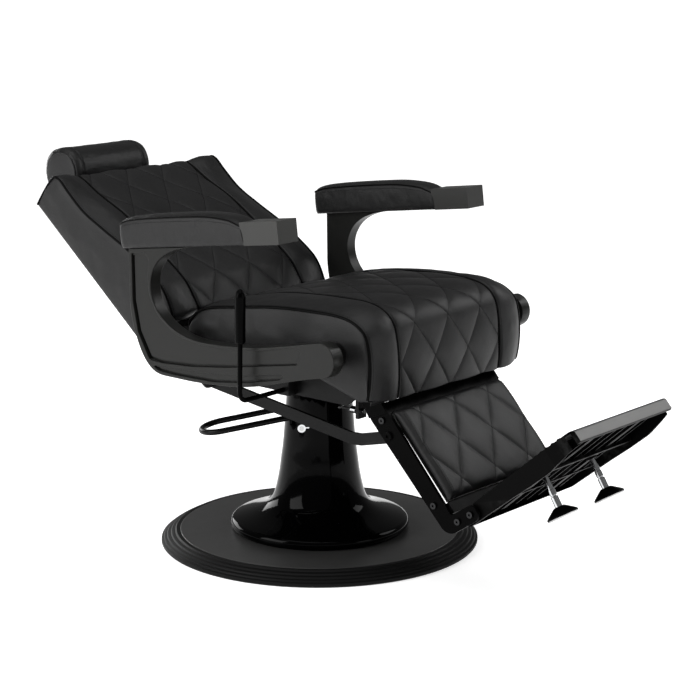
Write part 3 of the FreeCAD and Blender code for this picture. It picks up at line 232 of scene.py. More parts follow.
def wood(name):
    m = Mat(name)
    grain = m.noise(22.0, 6.0, 0.6, stretch=(1.0, 9.0, 9.0), distort=0.8)
    col = m.ramp(grain, [(0.3, (0.0085, 0.0070, 0.0060)), (0.55, (0.0150, 0.0125, 0.0105)), (0.75, (0.0220, 0.0185, 0.0155))])
    return m.put(color=col, rough=0.62, spec=0.3, normal=m.bump(grain, 0.15, 0.0005))


def thread(name):
    m = Mat(name)
    tw = m.node("ShaderNodeTexWave", wave_type="BANDS", bands_direction="DIAGONAL")
    tw.inputs["Scale"].default_value = 900.0
    m.link(m.co, tw.inputs["Vector"])
    col = m.ramp(tw.outputs["Fac"], [(0.2, (0.0022, 0.0023, 0.0026)), (0.8, (0.0065, 0.0068, 0.0075))])
    return m.put(color=col, rough=0.55, spec=0.12, sheen=0.05, sheen_rough=0.4, normal=m.bump(tw.outputs["Fac"], 0.3, 0.0002))


M = {
    "leather_top": leather("leather_top", (0.0060, 0.0060, 0.0062), (0.0105, 0.0104, 0.0106), 0.42, 0.26),
    "leather_side": leather("leather_side", (0.0062, 0.0062, 0.0064), (0.0104, 0.0103, 0.0104), 0.44, 0.22),
    # the piping's own black leather, painted much darker than the cover leather as painted shade of the seam creases
    "piping_leather_painted_shade": leather("piping_leather_painted_shade", (0.0006, 0.0006, 0.0006), (0.0013, 0.0013, 0.0013), 0.42, 0.05, 0.2),
    "thread": thread("thread_black"),
    "casting": paint("casting_satin", (0.0090, 0.0091, 0.0084), (0.0100, 0.0101, 0.0093), 0.34, 0.18, 0.05),
    # painted shade: a darker copy of the casting paint for the arms' front bosses
    "boss": paint("boss_painted_shade_satin", (0.0035, 0.0035, 0.0034), (0.0048, 0.0048, 0.0046), 0.30, 0.10, 0.05, (0.014, 0.014, 0.013)),
    "cap": paint("cap_satin", (0.0185, 0.0186, 0.0173), (0.0218, 0.0219, 0.0202), 0.40, 0.30, 0.06),
    "gloss": paint("gloss_enamel", (0.0005, 0.0005, 0.0006), (0.0008, 0.0008, 0.0009), 0.065, 0.05, 0.004, None, 0.0, 0.03, 60.0),
    "base": paint("base_satin", (0.0340, 0.0340, 0.0335), (0.0400, 0.0400, 0.0394), 0.38, 0.45, 0.05),
    "rim": paint("rim_satin", (0.0045, 0.0045, 0.0045), (0.0062, 0.0062, 0.0062), 0.50, 0.08, 0.10, None),
    "steel_black": paint("steel_black_coat", (0.0018, 0.0018, 0.0019), (0.0034, 0.0034, 0.0034), 0.32, 0.11, 0.05, (0.016, 0.016, 0.016)),
    "plate": paint("plate_black", (0.0006, 0.0006, 0.0006), (0.0011, 0.0011, 0.0011), 0.34, 0.022, 0.05, (0.014, 0.014, 0.014)),
    "foot": paint("foot_casting", (0.0006, 0.0006, 0.0006), (0.0012, 0.0012, 0.0012), 0.42, 0.035, 0.12, (0.012, 0.012, 0.012)),
    # painted highlight: a light grey for the footplate rim's faces that look toward the front-above light
    "foot_edge": paint("foot_rim_painted_highlight_satin", (0.118, 0.118, 0.116), (0.146, 0.146, 0.143), 0.40, 0.35, 0.05),
    "pad_black": rubber("leveller_pad_moulded", (0.0010, 0.0010, 0.0010), (0.0022, 0.0022, 0.0022), 0.40, 0.06),
    "chrome": metal("chrome_plate", (0.62, 0.63, 0.64), 0.10, 0.04),
    "bolt": metal("bolt_zinc", (0.030, 0.030, 0.031), 0.25, 0.06),
    "steel": metal("bright_steel", (0.52, 0.52, 0.52), 0.28, 0.10),
    "rubber": rubber("rubber_moulded", (0.010, 0.010, 0.010), (0.022, 0.022, 0.022)),
    "grip": paint("grip_moulded", (0.0005, 0.0005, 0.0005), (0.0009, 0.0009, 0.0010), 0.16, 0.03, 0.03, None, 0.0, 0.1, 500.0),
    "cover": rubber("rear_cover_cloth", (0.010, 0.010, 0.010), (0.020, 0.020, 0.020), 0.7, 0.2),
    "wood": wood("plywood_birch"),
}
SLOT = {"leather_black": "leather_top", "casting_grey": "casting", "cap_grey": "cap", "gloss_black": "gloss", "base_grey": "base",
        "rim_black": "rim", "steel_black": "steel_black", "foot_black": "foot", "chrome": "chrome", "steel": "steel", "plywood": "wood",
        "rubber_black": "rubber", "grip_black": "grip", "cover_black": "cover"}

for name, ob in nodes.items():
    for i, mt in enumerate(ob.data.materials):
        if mt is not None and mt.name.split(".")[0] in SLOT:
            ob.data.materials[i] = M[SLOT[mt.name.split(".")[0]]]


def dress(name, width=0.6, angle=35.0, seg=2, material=None):
    """Broken edges on a carried-over node, so that its edges catch the light."""
    ob = nodes[name]
    if material:
        for i in range(len(ob.data.materials)):
            ob.data.materials[i] = M[material]
    w = ob.modifiers.new("weld", "WELD")
    w.merge_threshold = 0.00002
    b = ob.modifiers.new("edge", "BEVEL")
    b.width = width * MM
    b.segments = seg
    b.limit_method = "ANGLE"
    b.angle_limit = math.radians(angle)
    b.harden_normals = True
    b.use_clamp_overlap = True


for n_, w_ in (("arm_frame_right", 1.2), ("arm_frame_left", 1.2), ("arm_front_bosses", 0.8), ("arm_rear_bosses", 0.5), ("arm_cap_right", 1.4),
               ("arm_cap_left", 1.4), ("base_rim", 0.8), ("bell_cover", 0.7), ("base_disc", 0.5), ("leg_plate_right", 0.8), ("leg_plate_left", 0.8),
               ("leg_crossbar_upper", 0.7), ("leg_crossbar_lower", 0.7), ("link_bar_right", 0.7), ("link_bar_left", 0.7), ("footplate", 0.9),
               ("seat_frame", 0.6), ("swivel_hub", 0.8), ("back_frame", 0.6), ("back_rear_cover", 1.2), ("headrest_post", 0.5), ("headrest_socket", 0.6),
               ("hub_bolts", 0.3), ("recline_lever_rod", 0.4), ("lever_grip", 0.5), ("pump_pedal", 0.5), ("seat_board", 0.6),
               ("back_board", 0.6), ("calf_board", 0.6)):
    dress(n_, w_)


dress("leg_rest_bolts", 0.3, material="bolt")
# the front bosses take the darker casting paint, painted shade
for i_ in range(len(nodes["arm_front_bosses"].data.materials)):
    nodes["arm_front_bosses"].data.materials[i_] = M["boss"]
for n_ in ("leg_plate_right", "leg_plate_left", "leg_crossbar_upper", "leg_crossbar_lower", "recline_lever_rod", "link_front_pins", "link_rear_pins"):
    for i_ in range(len(nodes[n_].data.materials)):
        nodes[n_].data.materials[i_] = M["plate"]


def end_faces_finish_and_painted_highlight(name, axis, depth, material, facing=-2.0):
    """A second material on the faces at one end of a carried-over node: a real steel ring on the leveller pads, a
    painted highlight on the footplate's rim.
    """
    ob = nodes[name]
    ob.data.materials.append(M[material])
    a = Vector(axis).normalized()
    mw = ob.matrix_world
    top = max((mw @ v.co).dot(a) for v in ob.data.vertices)
    for f in ob.data.polygons:
        if (mw @ f.center).dot(a) > top - depth * MM and f.normal.dot(a) > facing:
            f.material_index = len(ob.data.materials) - 1


# painted highlight on the footplate rim's end faces that face front and up
end_faces_finish_and_painted_highlight("footplate", (0.0, -0.7536, 0.6574), 3.0, "foot_edge", 0.7)
for n_ in ("leveller_pad_right", "leveller_pad_left"):
    for i_ in range(len(nodes[n_].data.materials)):
        nodes[n_].data.materials[i_] = M["pad_black"]
    end_faces_finish_and_painted_highlight(n_, (0.0, -0.5255, -0.8508), 2.6, "steel")


# ---------------------------------------------------------------- mesh helpers
def dense(pts, per=40):
    """Centripetal Catmull-Rom through points."""
    P = np.array(pts, float)
    P = np.vstack([2 * P[0] - P[1], P, 2 * P[-1] - P[-2]])
    out = []
    for i in range(1, len(P) - 2):
        p0, p1, p2, p3 = P[i - 1], P[i], P[i + 1], P[i + 2]
        t1 = np.linalg.norm(p1 - p0) ** 0.5
        t2 = t1 + np.linalg.norm(p2 - p1) ** 0.5
        t3 = t2 + np.linalg.norm(p3 - p2) ** 0.5
        t = np.linspace(t1, t2, per, endpoint=False)[:, None]
        a1 = (t1 - t) / t1 * p0 + t / t1 * p1
        a2 = (t2 - t) / (t2 - t1) * p1 + (t - t1) / (t2 - t1) * p2
        a3 = (t3 - t) / (t3 - t2) * p2 + (t - t2) / (t3 - t2) * p3
        b1 = (t2 - t) / t2 * a1 + t / t2 * a2
        b2 = (t3 - t) / (t3 - t1) * a2 + (t - t1) / (t3 - t1) * a3
        out.append((t2 - t) / (t2 - t1) * b1 + (t - t1) / (t2 - t1) * b2)
    out.append(P[-2][None, :])
    return np.vstack(out)


def arc(d):
    return np.concatenate([[0], np.cumsum(np.linalg.norm(np.diff(d, axis=0), axis=1))])


def even(pts, n, smooth=True):
    """Points sampled at even spacing along a curve, and its length."""
    d = dense(pts) if smooth else np.array(pts, float)
    s = arc(d)
    t = np.linspace(0, s[-1], n)
    return np.stack([np.interp(t, s, d[:, k]) for k in range(d.shape[1])], 1), float(s[-1])


def sstep(a, b, x):
    t = np.clip((x - a) / (b - a), 0, 1)
    return t * t * (3 - 2 * t)


def vnoise(x, y, seed):
    """Smooth value noise in -1..1."""
    rng = np.random.RandomState(seed)
    g = rng.uniform(-1, 1, (64, 64))
    xi, yi = np.floor(x).astype(int), np.floor(y).astype(int)
    fx, fy = x - xi, y - yi
    fx, fy = fx * fx * (3 - 2 * fx), fy * fy * (3 - 2 * fy)
    a, b = g[xi % 64, yi % 64], g[(xi + 1) % 64, yi % 64]
    c, d = g[xi % 64, (yi + 1) % 64], g[(xi + 1) % 64, (yi + 1) % 64]
    return (a * (1 - fx) + b * fx) * (1 - fy) + (c * (1 - fx) + d * fx) * fy


def make(name, verts, faces, mats, body, index=None):
    me = bpy.data.meshes.new(name)
    me.from_pydata((np.asarray(verts, float) * MM).tolist(), [], [tuple(int(i) for i in f) for f in faces])
    me.validate()
    me.polygons.foreach_set("use_smooth", [True] * len(me.polygons))
    for m in mats:
        me.materials.append(m)
    if index is not None and len(index) == len(me.polygons):
        me.polygons.foreach_set("material_index", [int(i) for i in index])
    me.update()
    ob = bpy.data.objects.new(name, me)
    bpy.context.collection.objects.link(ob)
    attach(ob, body)
    return ob


def normals(P):
    du, dv = np.gradient(P, axis=0), np.gradient(P, axis=1)
    n = np.cross(du, dv)
    return n / np.maximum(np.linalg.norm(n, axis=2), 1e-9)[:, :, None]


def tube_mesh(pts, r, n=10, close=False):
    """Verts and faces of a round tube along points (mm)."""
    P = np.asarray(pts, float)
    T = np.gradient(P, axis=0) if not close else np.roll(P, -1, 0) - np.roll(P, 1, 0)
    T /= np.linalg.norm(T, axis=1)[:, None]
    up = np.array([0.0, 0.0, 1.0]) if abs(T[0][2]) < 0.9 else np.array([1.0, 0.0, 0.0])
    a = np.cross(T[0], up)
    a /= np.linalg.norm(a)
    V, ang = [], np.linspace(0, 2 * math.pi, n, endpoint=False)
    for p, t in zip(P, T):
        a = a - t * np.dot(a, t)
        a /= np.linalg.norm(a)
        b = np.cross(t, a)
        V.append(p + r * (np.cos(ang)[:, None] * a + np.sin(ang)[:, None] * b))
    V = np.vstack(V)
    F, m = [], len(P)
    for i in range(m if close else m - 1):
        j = (i + 1) % m
        for k in range(n):
            F.append((i * n + k, i * n + (k + 1) % n, j * n + (k + 1) % n, j * n + k))
    if not close:
        F.append(tuple(range(n - 1, -1, -1)))
        F.append(tuple((m - 1) * n + k for k in range(n)))
    return V, F


def join(parts):
    V, F, off = [], [], 0
    for v, f in parts:
        V.append(v)
        F += [tuple(i + off for i in q) for q in f]
        off += len(v)
    return np.vstack(V), F


def stitch_mesh(P, N, pitch=4.2, length=3.0, r=0.42, lift=0.15):
    """Separate thread stitches lying along a polyline P with surface normals N."""
    s = arc(P)
    out = []
    k = pitch * 0.5
    while k + length < s[-1]:
        q = []
        for f, h in ((0.0, -0.5), (0.22, 0.12), (0.5, 0.3), (0.78, 0.12), (1.0, -0.5)):
            t = k + length * f
            p = np.array([np.interp(t, s, P[:, c]) for c in range(3)])
            nn = np.array([np.interp(t, s, N[:, c]) for c in range(3)])
            q.append(p + nn * (lift + h))
        out.append(tube_mesh(np.array(q), r, 5))
        k += pitch
    return out


def shell(P, low, ceil, xin, bulge, ns=22, nc=24, seed=3):
    """An upholstered cap: the top grid P (stations x across), side panels down to the low line, a turned-in lower edge,
    inner walls and a ceiling. low and ceil are (y, z) per station; bulge swells the side panels. Returns verts, faces
    and a material index per face: 0 on the top grid, 1 elsewhere."""
    nu, nx, _ = P.shape
    rows = []
    t = np.linspace(0, 1, ns + 1)[1:]
    zc = np.linspace(-1, 1, nc)
    for i in range(nu):
        ring = [P[i]]
        for sgn, edge in ((1, P[i, -1]), (-1, P[i, 0])):
            y = edge[1] * (1 - t) + low[i, 0] * t
            z = edge[2] * (1 - t) + low[i, 1] * t
            depth = math.hypot(edge[1] - low[i, 0], edge[2] - low[i, 1])
            h = bulge * min(1.0, depth / 60.0) * np.sin(math.pi * np.clip(t, 0, 1)) ** 0.75
            h = h + 1.1 * vnoise(y / 46.0 + 7, z / 30.0 + 3, seed + (sgn > 0)) * np.sin(math.pi * t) + 0.5 * vnoise(y / 17.0, z / 15.0, seed + 5) * np.sin(math.pi * t)
            x = edge[0] + sgn * h - sgn * 2.0 * np.exp(-(t * depth / 4.0) ** 2)
            side = np.stack([x, y, z], 1)
            inner = [np.array([sgn * (abs(edge[0]) - 3.0), low[i, 0], low[i, 1] - 2.5]), np.array([sgn * (xin + 3.0), low[i, 0], low[i, 1] - 2.5]),
                     np.array([sgn * xin, low[i, 0], low[i, 1]]), np.array([sgn * xin, ceil[i, 0], ceil[i, 1]])]
            if sgn > 0:
                right = np.vstack([side, inner])
            else:
                left = np.vstack([side, inner])[::-1]
        roof = np.stack([-zc[1:-1] * xin, np.full(nc - 2, ceil[i, 0]), np.full(nc - 2, ceil[i, 1])], 1)
        rows.append(np.vstack([P[i], right, roof, left]))
    R = np.array(rows)
    m = R.shape[1]
    V = R.reshape(-1, 3)
    F, idx = [], []
    for i in range(nu - 1):
        for k in range(m):
            F.append((i * m + k, i * m + (k + 1) % m, (i + 1) * m + (k + 1) % m, (i + 1) * m + k))
            idx.append(0 if k < nx - 1 else 1)
    F.append(tuple(range(m - 1, -1, -1)))
    F.append(tuple((nu - 1) * m + k for k in range(m)))
    return V, F, idx + [1, 1]


class Quilt:
    """Two families of straight stitch lines on a panel, lines at whole numbers of a and b."""

    def __init__(self, px, ps, xa, xb, s0):
        self.px, self.ps, self.xa, self.xb, self.s0 = px, ps, xa, xb, s0
        self.k = 2 * px * ps / math.hypot(px, ps)

    def ab(self, x, s):
        u = (s - self.s0) / (2 * self.ps)
        return (x - self.xa) / (2 * self.px) - u, (x - self.xb) / (2 * self.px) + u

    def dist(self, x, s):
        a, b = self.ab(x, s)
        return np.abs(a - np.round(a)) * self.k, np.abs(b - np.round(b)) * self.k, a, b

    def height(self, x, s, H, soft=15.0):
        da, db, a, b = self.dist(x, s)
        h = H * (1 - np.exp(-da / soft)) * (1 - np.exp(-db / soft)) / (1 - math.exp(-self.k / 2 / soft)) ** 2
        # puckers run square to each stitch line and die away from it
        w = 0.36 * np.exp(-da / 7.0) * vnoise(b * self.k / 5.2 + 9, np.round(a) * 7.1, 21) * (1 - np.exp(-da / 1.6))
        w += 0.36 * np.exp(-db / 7.0) * vnoise(a * self.k / 5.2 + 4, np.round(b) * 5.3, 22) * (1 - np.exp(-db / 1.6))
        w += 0.5 * vnoise(a * 2.3 + 3, b * 2.3 + 8, 23) * (1 - np.exp(-np.minimum(da, db) / 10.0))
        groove = -0.9 * (np.exp(-(da / 1.7) ** 2) + np.exp(-(db / 1.7) ** 2))
        return h + w + groove

    def lines(self, half, s0, s1):
        """Stitch lines as lists of (x, s), clipped to |x| < half."""
        out = []
        for fam in (0, 1):
            for k in range(-14, 15):
                s = np.linspace(s0, s1, 400)
                u = (s - self.s0) / (2 * self.ps)
                x = (k + u) * 2 * self.px + self.xa if fam == 0 else (k - u) * 2 * self.px + self.xb
                ok = np.abs(x) < half
                if ok.sum() > 6:
                    out.append(np.stack([x[ok], s[ok]], 1))
        return out


def stations(core, side, step=2.4):
    a = max(4, int((side - core) / step) + 1)
    b = max(4, int(2 * core / step) + 1)
    return np.concatenate([np.linspace(-side, -core, a)[:-1], np.linspace(-core, core, b), np.linspace(core, side, a)[1:]])


def on_grid(P, N, s, xs, line):
    """Points and normals of the finished grid along (x, s) pairs."""
    i = np.interp(line[:, 1], s, np.arange(len(s)))
    j = np.interp(line[:, 0], xs, np.arange(len(xs)))
    i0, j0 = np.clip(i.astype(int), 0, len(s) - 2), np.clip(j.astype(int), 0, len(xs) - 2)
    fi, fj = (i - i0)[:, None], (j - j0)[:, None]

    def pick(G):
        return G[i0, j0] * (1 - fi) * (1 - fj) + G[i0 + 1, j0] * fi * (1 - fj) + G[i0, j0 + 1] * (1 - fi) * fj + G[i0 + 1, j0 + 1] * fi * fj
    return pick(P), pick(N)


def panel(core_pts, side_pts, core, side, quilt, H, bolster, nu, seed, press=0.0):
    """A cushion's top grid in its own frame: quilted middle, plain swelling bolsters, pinched at the two pipings."""
    c, Lc = even(core_pts, nu)
    e, Le = even(side_pts, nu)
    s = np.linspace(0, Lc, nu)
    xs = stations(core, side)
    w = sstep(core, side, np.abs(xs))[None, :, None]
    P = np.zeros((nu, len(xs), 3))
    P[:, :, 0] = xs[None, :]
    P[:, :, 1:] = c[:, None, :] * (1 - w) + e[:, None, :] * w
    N = -normals(P)
    if N[nu // 3, len(xs) // 2, 2] < 0:
        N = -N
    X, S = np.meshgrid(xs, s)
    t = np.clip((np.abs(X) - core) / (side - core), 0, 1)
    b = bolster[0] + (bolster[1] - bolster[0]) * sstep(bolster[2], bolster[3], S)
    d = b * np.sin(math.pi * t) ** 0.72
    d += (0.8 * vnoise(X / 36 + 5, S / 52 + 2, seed) + 0.45 * vnoise(X / 13, S / 19, seed + 1)) * np.sin(math.pi * t)
    inner = 1 - sstep(core - 0.5, core, np.abs(X))
    fade = sstep(0, 10, core - np.abs(X)) * 0.0 + (1 - np.exp(-np.maximum(core - np.abs(X), 0) / 9.0))
    q = quilt.height(X, S, H) + 1.2
    d = np.where(np.abs(X) < core, q * fade, d)
    for at in (core, side):
        d -= 2.2 * np.exp(-((np.abs(X) - at) / 3.0) ** 2)
    d -= press * (1 - sstep(35.0, 105.0, S))
    return P + N * d[:, :, None], N, s, xs, P


def rot(angle, oy, oz):
    a = math.radians(angle)

    def f(P):
        Q = np.array(P, float)
        y, z = Q[..., 1].copy(), Q[..., 2].copy()
        Q[..., 1] = oy + y * math.cos(a) - z * math.sin(a)
        Q[..., 2] = oz + y * math.sin(a) + z * math.cos(a)
        return Q
    return f


def turn_n(angle):
    return rot(angle, 0.0, 0.0)


# ---------------------------------------------------------------- seat cushion
SEAT_CORE = [(134, 500), (135, 522), (121, 537), (47, 563), (-57, 583), (-150, 590), (-228, 591), (-275, 589), (-308, 581), (-330, 567),
             (-342, 549), (-349, 520), (-353, 485), (-354, 450), (-353, 425), (-350, 404)]
SEAT_SIDE = [(141, 492), (144, 513), (121, 537), (86, 548), (0, 560), (-92, 571), (-190, 575), (-269, 573), (-303, 565), (-332, 545), (-344, 510),
             (-347, 476), (-345, 440), (-340, 412)]
seat_quilt = Quilt(57.0, 76.0, 3.0, 3.0, 530.0)
P, N, s, xs, B = panel(SEAT_CORE, SEAT_SIDE, 176.0, 260.0, seat_quilt, 4.2, (7.0, 10.0, 380.0, 470.0), 286, 31, 5.0)
low = np.stack([np.clip(P[:, 0, 1], -342, 136), np.interp(np.clip(P[:, 0, 1], -342, 136), [-342, -318, -214, 136], [411, 408, 441, 446])], 1)
ceil = np.stack([np.clip(P[:, 0, 1], -331, 126), 532.0 - (np.clip(P[:, 0, 1], -331, 126) + 332.0) * 30.0 / 459.0], 1)
face = P[:, 0, 1] < -300
down = np.clip((560.0 - P[:, 0, 2]) / 140.0, 0, 1)
ceil[:, 1] = np.where(face, ceil[:, 1] * (1 - down) + 414.0 * down, ceil[:, 1])
ceil[:, 1] = np.minimum(ceil[:, 1], P[:, 100, 2] - 8.0)
V, F, idx = shell(P, low, ceil, 239.5, 6.5, seed=41)
seat = make("seat_upholstery", V, F, [M["leather_top"], M["leather_side"]], "seat", index=idx)
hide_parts("seat_cushion")

st, pp = [], []
for ln in seat_quilt.lines(174.0, 12.0, s[-1] - 6):
    st += stitch_mesh(*on_grid(P, N, s, xs, ln))
for at, r in ((176.0, 3.1), (260.0, 3.1)):
    for sgn in (-1, 1):
        ln = np.stack([np.full(240, sgn * at), np.linspace(2, s[-1] - 1, 240)], 1)
        p, n = on_grid(P, N, s, xs, ln)
        pp.append(tube_mesh(p + n * 1.9, r))
        for off in ((-6.0, 6.5) if at < 200 else (-6.0,)):
            ln2 = ln.copy()
            ln2[:, 0] = sgn * (at + off)
            st += stitch_mesh(*on_grid(P, N, s, xs, ln2), pitch=5.0, length=3.6)
V, F = join(st)
ob = make("seat_stitching", V, F, [M["thread"]], "seat")
V, F = join(pp)
ob = make("seat_piping", V, F, [M["piping_leather_painted_shade"]], "seat")

# ---------------------------------------------------------------- back cushion
BACK_CORE = [(-46, 104), (-50, 118), (-44, 131), (3, 141), (50, 142), (92, 138), (235, 122), (328, 98), (385, 87), (401, 80), (404, 64), (403, 30), (400, 3)]
BACK_SIDE = [(-50, 100), (-55, 110), (-48, 124), (-20, 138), (23, 144), (80, 140), (139, 132), (215, 113), (289, 97), (345, 96), (388, 97),
             (401, 90), (404, 70), (403, 34), (400, 3)]
to_back = rot(41.0, 305.0, 454.0)
back_quilt = Quilt(57.0, 77.5, 26.0, -53.0, 400.0)
P, N, s, xs, B = panel(BACK_CORE, BACK_SIDE, 175.0, 255.0, back_quilt, 4.0, (6.0, 6.0, 0.0, 1.0), 240, 51, 7.5)
yy = np.clip(P[:, 0, 1], -46, 396)
low = np.stack([yy, np.full(len(yy), 4.0)], 1)
cy = np.clip(P[:, 100, 1], -44, 380)
cz = np.interp(cy, [-44, -30, 8, 40, 380], [104.0, 104.0, 58.0, 46.5, 46.5])
top_z = P[:, 100, 2]
cz = np.where(P[:, 100, 1] > 300, np.minimum(cz, np.maximum(top_z - 12.0, 5.0)), np.minimum(cz, top_z - 2.0))
ceil = np.stack([cy, cz], 1)
V, F, idx = shell(P, low, ceil, 229.0, 4.0, seed=61)
back = make("back_upholstery", to_back(V), F, [M["leather_top"], M["leather_side"]], "backrest", index=idx)
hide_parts("back_cushion")
turn_back = turn_n(41.0)
st, pp = [], []
for ln in back_quilt.lines(173.0, 30.0, 486.0):
    p, n = on_grid(P, N, s, xs, ln)
    st += stitch_mesh(to_back(p), turn_back(n))
for at in (175.0, 255.0):
    for sgn in (-1, 1):
        ln = np.stack([np.full(220, sgn * at), np.linspace(2, s[-1] - 1, 220)], 1)
        p, n = on_grid(P, N, s, xs, ln)
        pp.append(tube_mesh(to_back(p + n * 1.9), 3.0))
        for off in ((-6.0, 6.5) if at < 200 else (-6.0,)):
            ln2 = ln.copy()
            ln2[:, 0] = sgn * (at + off)
            p, n = on_grid(P, N, s, xs, ln2)
            st += stitch_mesh(to_back(p), turn_back(n), pitch=5.0, length=3.6)
V, F = join(st)
make("back_stitching", V, F, [M["thread"]], "backrest")
V, F = join(pp)
make("back_piping", V, F, [M["piping_leather_painted_shade"]], "backrest")

# ---------------------------------------------------------------- calf pad
to_leg = rot(48.63, -498.0, 190.0)
turn_leg = turn_n(48.63)
calf_quilt = Quilt(59.0, 79.0, 53.0, 53.0, 111.0)
CALF = [(30, -1), (28.4, 6), (30, 14), (38, 18), (60, 21), (135, 23), (212, 21), (232, 18), (240, 14), (241.6, 6), (240, -1)]
nu = 112
c, Lc = even(CALF, nu)
s = np.linspace(0, Lc, nu)
xs = stations(150.0, 182.5, 2.4)
P = np.zeros((nu, len(xs), 3))
P[:, :, 0] = xs[None, :]
P[:, :, 1:] = c[:, None, :]
X, S = np.meshgrid(xs, s)
edge = 182.5 - np.abs(X)
roll = 9.0 * (1 - np.sqrt(np.clip(1 - (1 - np.clip(edge / 11.0, 0, 1)) ** 2, 0, 1)))
P[:, :, 2] -= roll * np.clip((P[:, :, 2] + 1) / 12.0, 0, 1)
N = -normals(P)
if N[nu // 2, len(xs) // 2, 2] < 0:
    N = -N
s_local = P[:, :, 1] - 28.0
mask = sstep(2, 12, P[:, :, 1] - 28.0) * sstep(2, 12, 242.0 - P[:, :, 1]) * (1 - np.exp(-edge / 8.0)) * sstep(8, 16, P[:, :, 2] + 2)
d = (calf_quilt.height(X, s_local, 4.0) + 0.6) * mask
G = P + N * d[:, :, None]
rows = []
for i in range(nu):
    bottom = np.stack([-xs, np.full(len(xs), float(np.clip(c[i, 0], 30, 240))), np.full(len(xs), -1.3)], 1)[::6]
    rows.append(np.vstack([G[i], bottom]))
R = np.array(rows)
m = R.shape[1]
F = [(i * m + k, i * m + (k + 1) % m, (i + 1) * m + (k + 1) % m, (i + 1) * m + k) for i in range(nu - 1) for k in range(m)]
F += [tuple(range(m - 1, -1, -1)), tuple((nu - 1) * m + k for k in range(m))]
calf = make("calf_upholstery", to_leg(R.reshape(-1, 3)), F, [M["leather_top"]], "leg_rest")
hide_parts("calf_pad")
st = []
s_of = np.interp
for ln in calf_quilt.lines(176.0, 4.0, 210.0):
    line = ln.copy()
    line[:, 1] = np.interp(ln[:, 1] + 28.0, c[4:-4, 0], s[4:-4])
    p, n = on_grid(G, N, s, xs, line)
    st += stitch_mesh(to_leg(p), turn_leg(n))
loop = []
for x, y in ((-180, 32), (-180, 238), (180, 238), (180, 32)):
    loop.append((x, y))
for x in (-174.0, -169.0, 174.0, 169.0):
    line = np.stack([np.full(120, x), np.interp(np.linspace(36, 234, 120), c[3:-3, 0], s[3:-3])], 1)
    p, n = on_grid(G, N, s, xs, line)
    st += stitch_mesh(to_leg(p), turn_leg(n), pitch=5.0, length=3.6)
V, F = join(st)
make("calf_stitching", V, F, [M["thread"]], "leg_rest")
ring = []
for (x0, y0), (x1, y1) in (((-181.5, 31), (-181.5, 239)), ((-181.5, 239), (181.5, 239)), ((181.5, 239), (181.5, 31)), ((181.5, 31), (-181.5, 31))):
    t = np.linspace(0, 1, 60, endpoint=False)[:, None]
    ring.append(np.array([[x0, y0]]) * (1 - t) + np.array([[x1, y1]]) * t)
ring = np.vstack(ring)
for _ in range(6):
    ring = (np.roll(ring, 1, 0) + ring + np.roll(ring, -1, 0)) / 3
V, F = tube_mesh(to_leg(np.column_stack([ring, np.full(len(ring), 6.0)])), 2.0, 10, True)
make("calf_piping", V, F, [M["piping_leather_painted_shade"]], "leg_rest")

# ---------------------------------------------------------------- headrest roll
RC = (485.6, -0.8)
xs = np.concatenate([np.linspace(-119, -104, 12)[:-1], np.linspace(-104, -90, 9)[:-1], np.linspace(-90, 90, 76), np.linspace(90, 104, 9)[1:], np.linspace(104, 119, 12)[1:]])
th = np.linspace(0, 2 * math.pi, 150, endpoint=False)
X, T = np.meshgrid(xs, th)
R0 = 57.0
endk = np.clip((119.0 - np.abs(X)) / 13.0, 0, 1)
rad = R0 - 10.0 * (1 - np.sqrt(np.clip(1 - (1 - endk) ** 2, 0, 1)))
rad -= 1.8 * np.exp(-((np.abs(X) - 97.0) / 2.4) ** 2)
rad += 0.5 * vnoise(X / 30 + 3, T * 4 + 2, 71) + 0.3 * vnoise(X / 11, T * 9, 72)
wr = np.exp(-np.abs(np.abs(X) - 97.0) / 9.0) * (1 - np.exp(-np.abs(np.abs(X) - 97.0) / 2.0))
rad += 0.5 * wr * vnoise(T * 26, np.sign(X) * 3 + 5, 73)
sq = 1.0 + 0.02 * np.cos(4 * T)
P = np.stack([X, RC[0] + rad * sq * np.cos(T), RC[1] + rad * sq * np.sin(T)], 2)
nt, nx = P.shape[:2]
V = to_back(P.reshape(-1, 3))
F = [(i * nx + k, i * nx + k + 1, ((i + 1) % nt) * nx + k + 1, ((i + 1) % nt) * nx + k) for i in range(nt) for k in range(nx - 1)]
caps = []
V = V.tolist()
for col, sgn in ((0, -1), (nx - 1, 1)):
    prev = [i * nx + col for i in range(nt)]
    for f, bul in ((0.94, 0.7), (0.85, 1.3), (0.7, 1.9), (0.5, 2.4), (0.25, 2.7)):
        cur = []
        for i in range(nt):
            q = P[i, col]
            cur.append(len(V))
            V.append(to_back(np.array([[sgn * (119.0 + bul), RC[0] + (q[1] - RC[0]) * f, RC[1] + (q[2] - RC[1]) * f]]))[0].tolist())
        for i in range(nt):
            a, b = prev[i], prev[(i + 1) % nt]
            c2, d2 = cur[(i + 1) % nt], cur[i]
            F.append((a, b, c2, d2) if sgn < 0 else (b, a, d2, c2))
        prev = cur
    F.append(tuple(prev) if sgn < 0 else tuple(reversed(prev)))
F = [tuple(reversed(f)) if i < nt * (nx - 1) else f for i, f in enumerate(F)]
head = make("headrest_upholstery", V, F, [M["leather_top"]], "headrest")
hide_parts("headrest_cushion")
st = []
